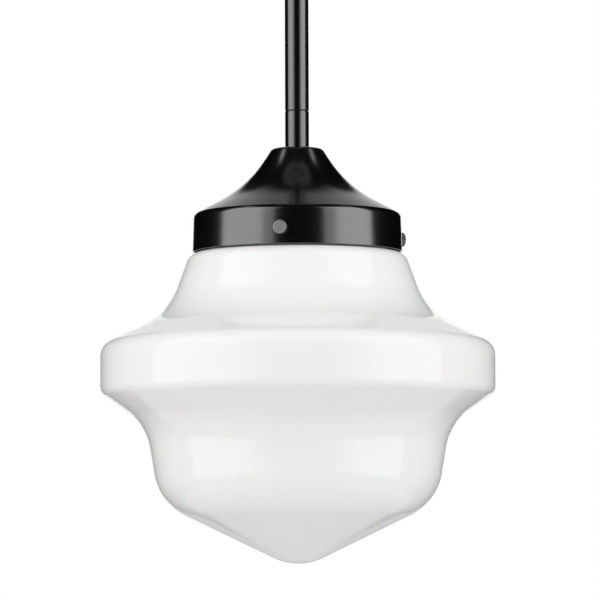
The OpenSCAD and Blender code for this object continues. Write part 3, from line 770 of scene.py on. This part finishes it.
@dataclass
class CeilingMount:
    """The canopy, the crossbar behind it and the supply side of the wiring."""

    workshop: Workshop
    canopy_wall: float = 1.0 * MM
    canopy_fillet: float = 9.0 * MM
    seat_flange: float = 4.0 * MM
    seat_play: float = 0.1 * MM
    stud_play: float = 0.2 * MM
    stud_depth: float = 0.3 * MM
    stud_pitch: float = 0.8 * MM
    cutter_length: float = 6.0 * MM
    knob_dome: float = 3.8 * MM
    knob_edge: float = 0.6 * MM
    knob_bore: float = 5.2 * MM
    knob_play: float = 0.05 * MM
    nut_length: float = 18.0 * MM
    nut_skirt: float = 5.4 * MM
    nut_tip: float = 3.5 * MM
    nut_fillet: float = 1.4 * MM
    nut_bore: float = 1.75 * MM
    nut_depth: float = 9.0 * MM
    nut_ribs: int = 12
    rib_shrink: float = 0.93
    rib_root: float = 3.15 * MM
    stud_segments: int = 40
    knob_segments: int = 72
    segments: int = 192

    def __post_init__(self) -> None:
        """Takes the studs' size and places from the frame."""
        low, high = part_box("canopy_studs")
        self.stud_radius = (high.y - low.y) / 2
        self.stud_x = high.x - self.stud_radius
        self.stud_low, self.stud_high = low.z, high.z

    def canopy(self) -> None:
        """Spins the canopy and drills it for the two studs."""
        low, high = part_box("canopy")
        radius = radius_of("canopy")
        seat_hole = radius_of("swivel_seat") - self.seat_flange + self.seat_play
        outer = Outline([
            Corner(radius, high.z),
            Corner(radius, low.z, self.canopy_fillet),
            Corner(seat_hole, low.z),
        ], share=0.5)
        mesh = lathe(sheet_of(outer, self.canopy_wall), self.segments)
        made = self.workshop.piece(mesh, "canopy_sheet", Body.CEILING, "black_metal", "canopy")
        stud_hole = self.stud_radius + self.stud_play
        middle = low.z + self.canopy_wall / 2
        self.workshop.drill(made, [
            round_bar(stud_hole, self.cutter_length, Matrix.Translation((x, 0, middle)))
            for x in (-self.stud_x, self.stud_x)
        ])

    def at_both_studs(self, outline: Outline, segments: int) -> BMesh:
        """Turns an outline twice, once at each stud.

        Args:
            outline: The outline about its own axis.
            segments: Steps in the full turn.

        Returns:
            Both shapes in one mesh.
        """
        mesh = lathe(outline, segments)
        twin = bmesh.ops.duplicate(mesh, geom=whole(mesh))["geom"]
        bmesh.ops.translate(mesh, verts=verts_of(twin), vec=(2 * self.stud_x, 0, 0))
        bmesh.ops.translate(mesh, verts=mesh.verts, vec=(-self.stud_x, 0, 0))
        return mesh

    def studs(self) -> None:
        """Turns the two threaded studs."""
        root = self.stud_radius - 2 * self.stud_depth
        thread = threaded(
            self.stud_radius, self.stud_depth, self.stud_pitch,
            self.stud_low + self.stud_depth, self.stud_high - self.stud_depth,
        )
        low_end = [Corner(0, self.stud_low), Corner(root, self.stud_low)]
        high_end = [Corner(root, self.stud_high), Corner(0, self.stud_high)]
        mesh = self.at_both_studs(Outline(low_end + thread + high_end), self.stud_segments)
        self.workshop.piece(mesh, "threaded_studs", Body.CEILING, "zinc_steel", "canopy_studs")

    def knobs(self) -> None:
        """Turns the two round knobs, with the blind bores that take the studs."""
        low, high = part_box("canopy_knobs")
        radius = (high.y - low.y) / 2
        bore = self.stud_radius + self.knob_play
        mesh = self.at_both_studs(Outline([
            Corner(0, low.z),
            Corner(radius, low.z, self.knob_dome),
            Corner(radius, high.z, self.knob_edge),
            Corner(bore, high.z),
            Corner(bore, high.z - self.knob_bore),
            Corner(0, high.z - self.knob_bore),
        ]), self.knob_segments)
        self.workshop.piece(mesh, "round_knobs", Body.CEILING, "black_metal", "canopy_knobs")

    def wire_nuts(self) -> None:
        """Turns the two ribbed wire nuts."""
        low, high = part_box("wire_nuts")
        radius = (high.x - low.x) / 2
        mesh = lathe(Outline([
            Corner(0, self.nut_depth),
            Corner(self.nut_bore, self.nut_depth),
            Corner(self.nut_bore, 0),
            Corner(radius, 0, self.knob_edge),
            Corner(radius, self.nut_skirt, self.nut_skirt),
            Corner(self.nut_tip, self.nut_length, self.nut_fillet),
            Corner(0, self.nut_length),
        ]), 4 * self.nut_ribs)
        long = [e for e in mesh.edges if abs(e.verts[0].co.z - e.verts[1].co.z) > self.nut_skirt]
        bmesh.ops.subdivide_edges(mesh, edges=long, cuts=1)
        tip = self.nut_length - self.nut_fillet
        flute(mesh, 2 * self.nut_ribs, self.rib_shrink, self.nut_skirt, tip, self.rib_root)
        first = whole(mesh)
        twin = bmesh.ops.duplicate(mesh, geom=first)["geom"]
        for parts, side in ((first, 1), (twin, -1)):
            mouth = Matrix.Translation((0, side * (high.y - self.nut_length), (low.z + high.z) / 2))
            level = Matrix.Rotation(-side * TURN / 4, 4, "X")
            bmesh.ops.transform(mesh, matrix=mouth @ level, verts=verts_of(parts))
        self.workshop.piece(
            mesh, "ribbed_wire_nuts", Body.CEILING, "orange_plastic", "wire_nuts"
        )

    def build(self) -> None:
        """Makes the mount and dresses what stays."""
        self.canopy()
        self.studs()
        self.knobs()
        self.wire_nuts()
        self.workshop.dress("zinc_steel", "crossbar", "stud_nuts")
        self.workshop.dress("green_screw", "bar_ground_screw")
        for wire, colour in WIRES.items():
            self.workshop.dress(f"{colour}_insulation", f"{wire}_tail")


@dataclass
class Stem:
    """The ball, the rod and the neck, with the nipples and leads inside."""

    workshop: Workshop
    ball_radius: float = 12.7 * MM
    bore: float = 4.85 * MM
    bevel: float = 0.4 * MM
    cutter_length: float = 38.1 * MM
    ball_rings: int = 64
    segments: int = 96

    def tube(self, node: str, name: str) -> None:
        """Turns a stem piece with a rounded bevel at both ends.

        Args:
            node: The CAD node that it stands for.
            name: The piece's name.
        """
        low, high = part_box(node)
        radius = radius_of(node)
        outline = Outline([
            Corner(self.bore, low.z),
            Corner(radius - self.bevel, low.z),
            Corner(radius, low.z + self.bevel, self.bevel / 2),
            Corner(radius, high.z - self.bevel, self.bevel / 2),
            Corner(radius - self.bevel, high.z),
            Corner(self.bore, high.z),
        ], closed=True)
        mesh = lathe(outline, self.segments)
        self.workshop.piece(mesh, name, Body.PENDANT, "black_metal", node)

    def ball(self) -> None:
        """Makes the swivel ball, flat where it meets the rod and bored through."""
        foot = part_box("swivel_ball")[0].z
        rise = math.sqrt(self.ball_radius ** 2 - radius_of("stem_rod") ** 2)
        middle = Matrix.Translation((0, 0, foot + rise))
        mesh = bmesh.new()
        bmesh.ops.create_uvsphere(
            mesh, u_segments=self.segments, v_segments=self.ball_rings,
            radius=self.ball_radius, matrix=middle,
        )
        bmesh.ops.bisect_plane(
            mesh, geom=whole(mesh), plane_co=(0, 0, foot), plane_no=(0, 0, -1), clear_outer=True
        )
        bmesh.ops.holes_fill(mesh, edges=[edge for edge in mesh.edges if edge.is_boundary])
        made = self.workshop.piece(mesh, "bored_ball", Body.PENDANT, "black_metal", "swivel_ball")
        self.workshop.drill(made, [round_bar(self.bore, self.cutter_length, middle)])

    def build(self) -> None:
        """Makes the stem and dresses what stays."""
        self.ball()
        self.tube("stem_rod", "rod_tube")
        self.tube("stem_neck", "neck_tube")
        self.workshop.dress("nylon", "swivel_seat")
        self.workshop.dress("brass", "swivel_nipple", "coupling_nipple", "holder_nipple")
        for wire, colour in WIRES.items():
            self.workshop.dress(f"{colour}_insulation", f"{wire}_lead")


@dataclass
class ShadeHolder:
    """The spun cup that holds the glass: flat top, hollow cone, rounded crease, straight band."""

    workshop: Workshop
    wall: float = 1.0 * MM
    top_radius: float = 13.4 * MM
    top_fillet: float = 3.4 * MM
    bend_radius: float = 26.5 * MM
    bend_height: float = 35.0 * MM
    cone_fillet: float = 68.0 * MM
    band_height: float = 20.0 * MM
    band_flare: float = 0.6 * MM
    crease_fillet: float = 3.6 * MM
    stem_hole: float = 5.0 * MM
    screw_hole: float = 2.3 * MM
    segments: int = 224

    def sheet(self) -> None:
        """Spins the cup and drills the three screw holes."""
        low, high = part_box("shade_holder")
        rim_radius = radius_of("shade_holder")
        outer = Outline([
            Corner(self.stem_hole, high.z),
            Corner(self.top_radius, high.z, self.top_fillet),
            Corner(self.bend_radius, low.z + self.bend_height, self.cone_fillet),
            Corner(rim_radius - self.band_flare, low.z + self.band_height, self.crease_fillet),
            Corner(rim_radius, low.z),
        ], share=0.86)
        mesh = lathe(sheet_of(outer, self.wall), self.segments)
        made = self.workshop.piece(
            mesh, "holder_sheet", Body.PENDANT, "black_metal", "shade_holder"
        )
        self.workshop.drill(made, [screw.hole(self.screw_hole) for screw in THUMB_SCREWS])

    def build(self) -> None:
        """Makes the cup and dresses what hangs inside."""
        self.sheet()
        dress = self.workshop.dress
        dress("zinc_steel", "screw_bushings", "socket_bracket", "lock_washer", "bracket_screws")
        dress("brass", "holder_nut", "terminal_screws", "socket_shell", "socket_contact")
        dress("green_screw", "leg_ground_screw")
        dress("porcelain", "socket_body")


@dataclass(frozen=True)
class ThumbScrew:
    """One of the three screws whose tips carry the glass lip."""

    number: int
    body: Body
    joint: str
    thread_radius: float = 2.1 * MM
    thread_depth: float = 0.3 * MM
    pitch: float = 0.8 * MM
    head_radius: float = 3.85 * MM
    head_length: float = 4.4 * MM
    slant: float = 1.08 * MM
    slant_length: float = 0.6 * MM
    edge_fillet: float = 1.0 * MM
    dimple_radius: float = 2.3 * MM
    dimple_depth: float = 0.12 * MM
    ridges: int = 36
    ridge_shrink: float = 0.96
    ridge_root: float = 3.465 * MM
    ridge_end: float = 0.7 * MM
    cutter_length: float = 12.0 * MM
    cutter_reach: float = 7.0 * MM

    @property
    def node(self) -> str:
        """The CAD node's name."""
        return f"thumb_screw_{self.number}"

    def way(self) -> Vector:
        """The way that the screw backs out, level and away from the light's axis."""
        found = next(joint for joint in frame["joints"] if joint["name"] == self.joint)
        return Vector(found["axis"]).normalized()

    def span(self) -> tuple[float, float]:
        """How far the tip and the head's face lie from the light's axis."""
        along = [vertex.co.dot(self.way()) for vertex in frame["nodes"][self.node].data.vertices]
        return min(along), max(along)

    def place(self, away: float) -> Matrix:
        """Stands the Z axis along the screw.

        Args:
            away: The distance from the light's axis.

        Returns:
            The matrix that does it.
        """
        low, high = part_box(self.node)
        centre = Vector((0, 0, (low.z + high.z) / 2)) + self.way() * away
        return Matrix.Translation(centre) @ self.way().to_track_quat("Z", "Y").to_matrix().to_4x4()

    def hole(self, radius: float) -> BMesh:
        """A cutter along the screw, for its hole in the band."""
        return round_bar(radius, self.cutter_length, self.place(self.span()[0] + self.cutter_reach))

    def outline(self, length: float) -> Outline:
        """The screw's outline from its tip to its face.

        Args:
            length: The whole length.

        Returns:
            An open outline from pole to pole.
        """
        shank = length - self.head_length
        core = self.thread_radius - self.thread_depth
        tip = [Corner(0, 0), Corner(core - self.thread_depth, 0)]
        thread = threaded(
            self.thread_radius, self.thread_depth, self.pitch, self.thread_depth, shank
        )
        return Outline(tip + thread + [
            Corner(self.head_radius - self.slant, shank),
            Corner(self.head_radius, shank + self.slant_length, self.slant_length / 2),
            Corner(self.head_radius, length, self.edge_fillet),
            Corner(self.dimple_radius + self.dimple_depth, length),
            Corner(self.dimple_radius, length - self.dimple_depth),
            Corner(0, length - self.dimple_depth),
        ])

    def build(self, workshop: Workshop) -> None:
        """Turns the screw, knurls its head and puts it in the band.

        Args:
            workshop: What makes the piece.
        """
        tip, face = self.span()
        length = face - tip
        mesh = lathe(self.outline(length), 2 * self.ridges)
        low = length - self.head_length + self.slant_length
        high = length - self.ridge_end
        flute(mesh, 2 * self.ridges, self.ridge_shrink, low, high, self.ridge_root)
        away = [math.hypot(vertex.co.x, vertex.co.y) for vertex in mesh.verts]
        bmesh.ops.transform(mesh, matrix=self.place(tip), verts=mesh.verts)
        name = f"{self.body.value}_turned"
        made = workshop.piece(mesh, name, self.body, "grey_nickel", self.node)
        rings = made.data.attributes.new(AXIS_DISTANCE, "FLOAT", "POINT")
        rings.data.foreach_set("value", away)


THUMB_SCREWS = (
    ThumbScrew(1, Body.FRONT_SCREW, "front_screw_travel"),
    ThumbScrew(2, Body.RIGHT_SCREW, "right_screw_travel"),
    ThumbScrew(3, Body.REAR_SCREW, "rear_screw_travel"),
)


@dataclass
class GlassShade:
    """The blown opal shade: lip, neck, collar, flared shoulder, drum, lower body and point.

    The heights of its corners count from the holder's rim.
    """

    workshop: Workshop
    wall: float = 3.2 * MM
    lip_radius: float = 50.8 * MM
    lip_height: float = 4.3 * MM
    lip_edge: float = 1.3 * MM
    neck_radius: float = 47.5 * MM
    neck_fillet: float = 2.5 * MM
    rim_gap: float = 0.3 * MM
    collar: Corner = Corner(57.3 * MM, -0.3 * MM, 7.5 * MM)
    shoulder: Corner = Corner(69.2 * MM, -32.8 * MM, 38.0 * MM)
    drum_top: Corner = Corner(105.0 * MM, -49.2 * MM, 9.5 * MM)
    drum_low: Corner = Corner(105.0 * MM, -74.8 * MM, 6.5 * MM)
    waist: Corner = Corner(80.6 * MM, -92.0 * MM, 29.0 * MM)
    foot: Corner = Corner(73.7 * MM, -133.5 * MM, 30.0 * MM)
    point: Corner = Corner(0.0, -168.6 * MM, 30.0 * MM)
    segments: int = 224

    def build(self) -> None:
        """Spins the shade."""
        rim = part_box("shade_holder")[0].z
        lip_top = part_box("glass_shade")[1].z - rim
        lip_low = lip_top - self.lip_height
        outer = Outline([
            Corner(self.neck_radius, lip_low),
            Corner(self.neck_radius, -self.rim_gap, self.neck_fillet),
            self.collar, self.shoulder, self.drum_top, self.drum_low,
            self.waist, self.foot, self.point,
        ], share=0.5)
        lip = [
            Corner(self.neck_radius - self.wall, lip_top, self.lip_edge),
            Corner(self.lip_radius, lip_top, self.lip_edge),
            Corner(self.lip_radius, lip_low, self.lip_edge),
        ]
        mesh = lathe(Outline(outer.inset(self.wall)[:0:-1] + lip + outer.corners), self.segments)
        bmesh.ops.translate(mesh, verts=mesh.verts, vec=(0, 0, rim))
        self.workshop.piece(mesh, "opal_shade", Body.PENDANT, "opal_glass", "glass_shade")


@dataclass
class Bulb:
    """The lamp in the socket: globe, housing and rolled screw base."""

    workshop: Workshop
    wall: float = 1.2 * MM
    neck_step: float = 0.4 * MM
    neck_length: float = 6.0 * MM
    neck_fillet: float = 4.0 * MM
    bend_height: float = 14.4 * MM
    bend_fillet: float = 24.0 * MM
    bottom_fillet: float = 22.2 * MM
    cap_radius: float = 7.0 * MM
    cap_slope: float = 3.0 * MM
    base_wall: float = 0.5 * MM
    thread_pitch: float = 3.6 * MM
    thread_depth: float = 0.9 * MM
    thread_fillet: float = 1.1 * MM
    segments: int = 144

    def shell(self, node: str, keep_low: bool) -> BMesh:
        """Spins the bulb's outline and keeps the side of the seam that a node takes.

        Args:
            node: The CAD node.
            keep_low: Whether the node lies below the seam.

        Returns:
            The shell with its wall.
        """
        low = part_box("bulb_globe")[0].z
        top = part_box("bulb_housing")[1].z
        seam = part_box(node)[1 if keep_low else 0].z
        radius = radius_of("bulb_globe")
        neck = radius_of("bulb_base") + self.neck_step
        mesh = lathe(Outline([
            Corner(neck, top),
            Corner(neck, top - self.neck_length, self.neck_fillet),
            Corner(radius, low + radius + self.bend_height, self.bend_fillet),
            Corner(radius, low, self.bottom_fillet),
            Corner(0, low),
        ]), self.segments)
        bmesh.ops.bisect_plane(
            mesh, geom=whole(mesh), plane_co=(0, 0, seam), plane_no=(0, 0, 1),
            clear_outer=keep_low, clear_inner=not keep_low,
        )
        bmesh.ops.solidify(mesh, geom=whole(mesh), thickness=self.wall)
        return mesh

    def base(self) -> BMesh:
        """Turns the rolled screw base.

        Returns:
            The base with its wall.
        """
        low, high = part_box("bulb_base")
        thread = threaded(
            radius_of("bulb_base"), self.thread_depth, self.thread_pitch,
            low.z + self.cap_slope, high.z - self.cap_slope,
        )
        rolled = [Corner(c.radius, c.height, self.thread_fillet) for c in reversed(thread)]
        outer = Outline([
            Corner(self.cap_radius, high.z), *rolled, Corner(rolled[-1].radius, low.z)
        ], share=0.45)
        return lathe(sheet_of(outer, self.base_wall), self.segments)

    def build(self) -> None:
        """Makes the bulb and dresses what stays."""
        for mesh, name, slot, node in (
            (self.shell("bulb_globe", True), "frosted_globe", "bulb_diffuser", "bulb_globe"),
            (self.shell("bulb_housing", False), "moulded_housing", "bulb_plastic", "bulb_housing"),
            (self.base(), "rolled_base", "bulb_metal", "bulb_base"),
        ):
            self.workshop.piece(mesh, name, Body.BULB, slot, node)
        self.workshop.dress("black_glass", "bulb_insulator")
        self.workshop.dress("brass", "bulb_contact")
        self.workshop.dress("board", "led_board")


@dataclass(frozen=True)
class Lamp:
    """A soft rectangular lamp, placed by its turn in degrees from the camera and its rise."""

    name: str
    radiance: float
    width: float
    height: float = 2.7
    turn: float = 0.0
    away: float = 1.6
    rise: float = 0.55
    in_gloss: bool = True

    def hang(self, rim: float) -> None:
        """Hangs the lamp, which the camera doesn't see.

        Args:
            rim: The height of the shade holder's rim.
        """
        data = bpy.data.lights.new(self.name, "AREA")
        data.shape = "RECTANGLE"
        data.size = self.width
        data.size_y = self.height
        data.energy = self.radiance * math.pi * self.width * self.height
        turn = math.radians(self.turn)
        level = Vector((math.sin(turn), -math.cos(turn), 0)) * self.away
        made = bpy.data.objects.new(self.name, data)
        made.location = level + Vector((0, 0, rim + self.rise))
        facing = level if self.away else Vector((0, 0, self.rise))
        made.rotation_euler = facing.to_track_quat("Z", "Y").to_euler()
        made.visible_camera = False
        made.visible_glossy = self.in_gloss
        bpy.context.scene.collection.objects.link(made)


LAMPS = (
    Lamp("left_softbox", radiance=1.42, width=1.56, turn=-64),
    Lamp("left_feather", radiance=0.7, width=0.365, turn=-31.5),
    Lamp("left_kicker", radiance=1.1, width=0.34, height=0.5, turn=-88, away=1.03, rise=1.65),
    Lamp("right_softbox", radiance=1.51, width=1.342, turn=65.75),
    Lamp("right_feather", radiance=0.75, width=0.393, turn=36),
    Lamp("right_kicker", radiance=0.9, width=0.34, height=0.5, turn=90, away=1.03, rise=1.65),
    Lamp("front_fill", radiance=1.0, width=1.2, height=1.2, away=2.3, rise=-0.7, in_gloss=False),
    Lamp("top_fill", radiance=0.5, width=1.5, height=1.5, away=0, rise=1.8, in_gloss=False),
    Lamp("low_fill", radiance=0.55, width=1.5, height=1.5, away=0, rise=-1.9, in_gloss=False),
)


@dataclass
class Studio:
    """Camera, lamps, dark drape, pale scrim, floor and background.

    The heights of drape and scrim count from the shade holder's rim, and distances from the
    light's axis. The window is the drape's open angle. The flare widens the scrim's top, and
    the lean brings it nearer.
    """

    eye_distance: float = 2.121
    eye_below_rim: float = 0.1792
    eye_tilt: float = math.radians(4.147)
    eye_turn: float = math.radians(-0.0344)
    eye_roll: float = math.radians(-0.2)
    lens: float = 240.0
    sensor: float = 36.0
    ambient: float = 0.5
    floor_drop: float = 2.4
    floor_radius: float = 16.0
    floor_grey: float = 0.9
    floor_segments: int = 96
    drape_radius: float = 4.2
    drape_top: float = 4.2
    drape_low: float = -3.0
    drape_grey: float = 0.004
    wall_steps: int = 60
    roof_segments: int = 72
    window: float = math.radians(26)
    scrim_distance: float = 2.5
    scrim_width: float = 0.9
    scrim_flare: float = 1.9
    scrim_lean: float = 1.0
    scrim_low: float = 0.6
    scrim_high: float = 2.6
    scrim_glow: tuple[float, float] = (1.0, 0.03)

    def camera(self, rim: float) -> None:
        """Stands the camera where the photograph was taken from.

        Args:
            rim: The height of the shade holder's rim.
        """
        data = bpy.data.cameras.new("eye")
        data.lens = self.lens
        data.sensor_width = self.sensor
        eye = bpy.data.objects.new("eye", data)
        eye.location = (0, -self.eye_distance, rim - self.eye_below_rim)
        turn = Matrix.Rotation(self.eye_turn, 4, "Z")
        tilt = Matrix.Rotation(TURN / 4 + self.eye_tilt, 4, "X")
        roll = Matrix.Rotation(self.eye_roll, 4, "Z")
        eye.rotation_euler = (turn @ tilt @ roll).to_euler()
        bpy.context.scene.collection.objects.link(eye)
        bpy.context.scene.camera = eye

    def drape(self, rim: float) -> None:
        """Hangs a dark drape, open behind the light, round and above the set for reflections.

        Args:
            rim: The height of the shade holder's rim.
        """
        mesh = bmesh.new()
        low = mesh.verts.new((0, self.drape_radius, rim + self.drape_low))
        high = mesh.verts.new((0, self.drape_radius, rim + self.drape_top))
        wall = [low, high, mesh.edges.new((low, high))]
        turn = Matrix.Rotation(self.window / 2, 3, "Z")
        bmesh.ops.rotate(mesh, cent=(0, 0, 0), matrix=turn, verts=[low, high])
        bmesh.ops.spin(
            mesh, geom=wall, cent=(0, 0, 0), axis=(0, 0, 1),
            angle=TURN - self.window, steps=self.wall_steps,
        )
        bmesh.ops.create_circle(
            mesh, cap_ends=True, segments=self.roof_segments, radius=self.drape_radius,
            matrix=Matrix.Translation((0, 0, rim + self.drape_top)),
        )
        cloth, paint = self.stage(mesh, "drape")
        paint.matte(self.drape_grey)
        self.only_in_gloss(cloth)

    def scrim(self, rim: float) -> None:
        """Hangs a pale scrim behind the light. Only reflections see it, and it fades upwards.

        Args:
            rim: The height of the shade holder's rim.
        """
        mesh = bmesh.new()
        corner = mesh.verts.new((-self.scrim_width / 2, self.scrim_distance, rim + self.scrim_low))
        side = bmesh.ops.extrude_vert_indiv(mesh, verts=[corner])
        bmesh.ops.translate(mesh, verts=side["verts"], vec=(self.scrim_width, 0, 0))
        sheet = bmesh.ops.extrude_edge_only(mesh, edges=side["edges"])["geom"]
        raised = verts_of(sheet)
        rise = (0, -self.scrim_lean, self.scrim_high - self.scrim_low)
        bmesh.ops.translate(mesh, verts=raised, vec=rise)
        bmesh.ops.scale(mesh, verts=raised, vec=(self.scrim_flare, 1, 1))
        cloth, paint = self.stage(mesh, "scrim")
        level = paint.node("ShaderNodeSeparateXYZ", None, {"Vector": paint.place()}).outputs["Z"]
        share = (Value(paint, level) - rim) * (1 / self.scrim_high)
        glows = [(grey,) * 3 for grey in self.scrim_glow]
        paint.surface({
            "Base Color": (0, 0, 0, 1),
            "Specular IOR Level": 0.0,
            "Emission Color": paint.blend(share, *glows),
            "Emission Strength": 1.0,
        })
        self.only_in_gloss(cloth)

    def only_in_gloss(self, thing: Object) -> None:
        """Hides a thing of the set from everything but reflections.

        Args:
            thing: What is hidden.
        """
        thing.visible_camera = False
        thing.visible_diffuse = False
        thing.visible_shadow = False
        thing.visible_transmission = False

    def stage(self, mesh: BMesh, name: str) -> tuple[Object, Paint]:
        """Makes a plain thing of the set, which isn't part of the light.

        Args:
            mesh: Its shape, freed here.
            name: Its name.

        Returns:
            The new object, and its material's empty node tree.
        """
        data = bpy.data.meshes.new(name)
        mesh.to_mesh(data)
        mesh.free()
        material = bpy.data.materials.new(name)
        material.use_nodes = True
        data.materials.append(material)
        made = bpy.data.objects.new(name, data)
        bpy.context.scene.collection.objects.link(made)
        made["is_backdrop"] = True
        return made, Paint(material.node_tree)

    def floor(self, low: float) -> None:
        """Lays a plain pale floor well below the light.

        Args:
            low: The height of the light's lowest point.
        """
        mesh = bmesh.new()
        bmesh.ops.create_circle(
            mesh, cap_ends=True, segments=self.floor_segments, radius=self.floor_radius,
            matrix=Matrix.Translation((0, 0, low - self.floor_drop)),
        )
        _, paint = self.stage(mesh, "floor")
        paint.matte(self.floor_grey)

    def world(self) -> None:
        """Shows white to the camera, gloss and glass, and gives a dimmer even light to the rest."""
        world = bpy.data.worlds.new("studio")
        world.use_nodes = True
        bpy.context.scene.world = world
        paint = Paint(world.node_tree)
        rays = paint.node("ShaderNodeLightPath").outputs
        camera, gloss, glass = (
            Value(paint, rays[f"Is {kind} Ray"]) for kind in ("Camera", "Glossy", "Transmission")
        )
        strength = (camera + gloss + glass > 0.5).between(self.ambient, 1.0)
        inputs = {"Color": (1, 1, 1, 1), "Strength": strength}
        light = paint.node("ShaderNodeBackground", None, inputs)
        paint.node("ShaderNodeOutputWorld", None, {"Surface": light.outputs[0]})

    def build(self, rim: float, low: float) -> None:
        """Sets the stage.

        Args:
            rim: The height of the shade holder's rim.
            low: The height of the light's lowest point.
        """
        self.camera(rim)
        for lamp in LAMPS:
            lamp.hang(rim)
        self.drape(rim)
        self.scrim(rim)
        self.floor(low)
        self.world()
        bpy.context.scene.view_settings.view_transform = "Standard"


def main() -> None:
    """Builds the sub-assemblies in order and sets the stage."""
    logging.basicConfig(level=logging.INFO, format="%(message)s")
    low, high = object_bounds()
    workshop = Workshop()
    CeilingMount(workshop).build()
    Stem(workshop).build()
    ShadeHolder(workshop).build()
    for screw in THUMB_SCREWS:
        screw.build(workshop)
    GlassShade(workshop).build()
    Bulb(workshop).build()
    Studio().build(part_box("shade_holder")[0].z, low.z)


if __name__ == "__main__":
    main()
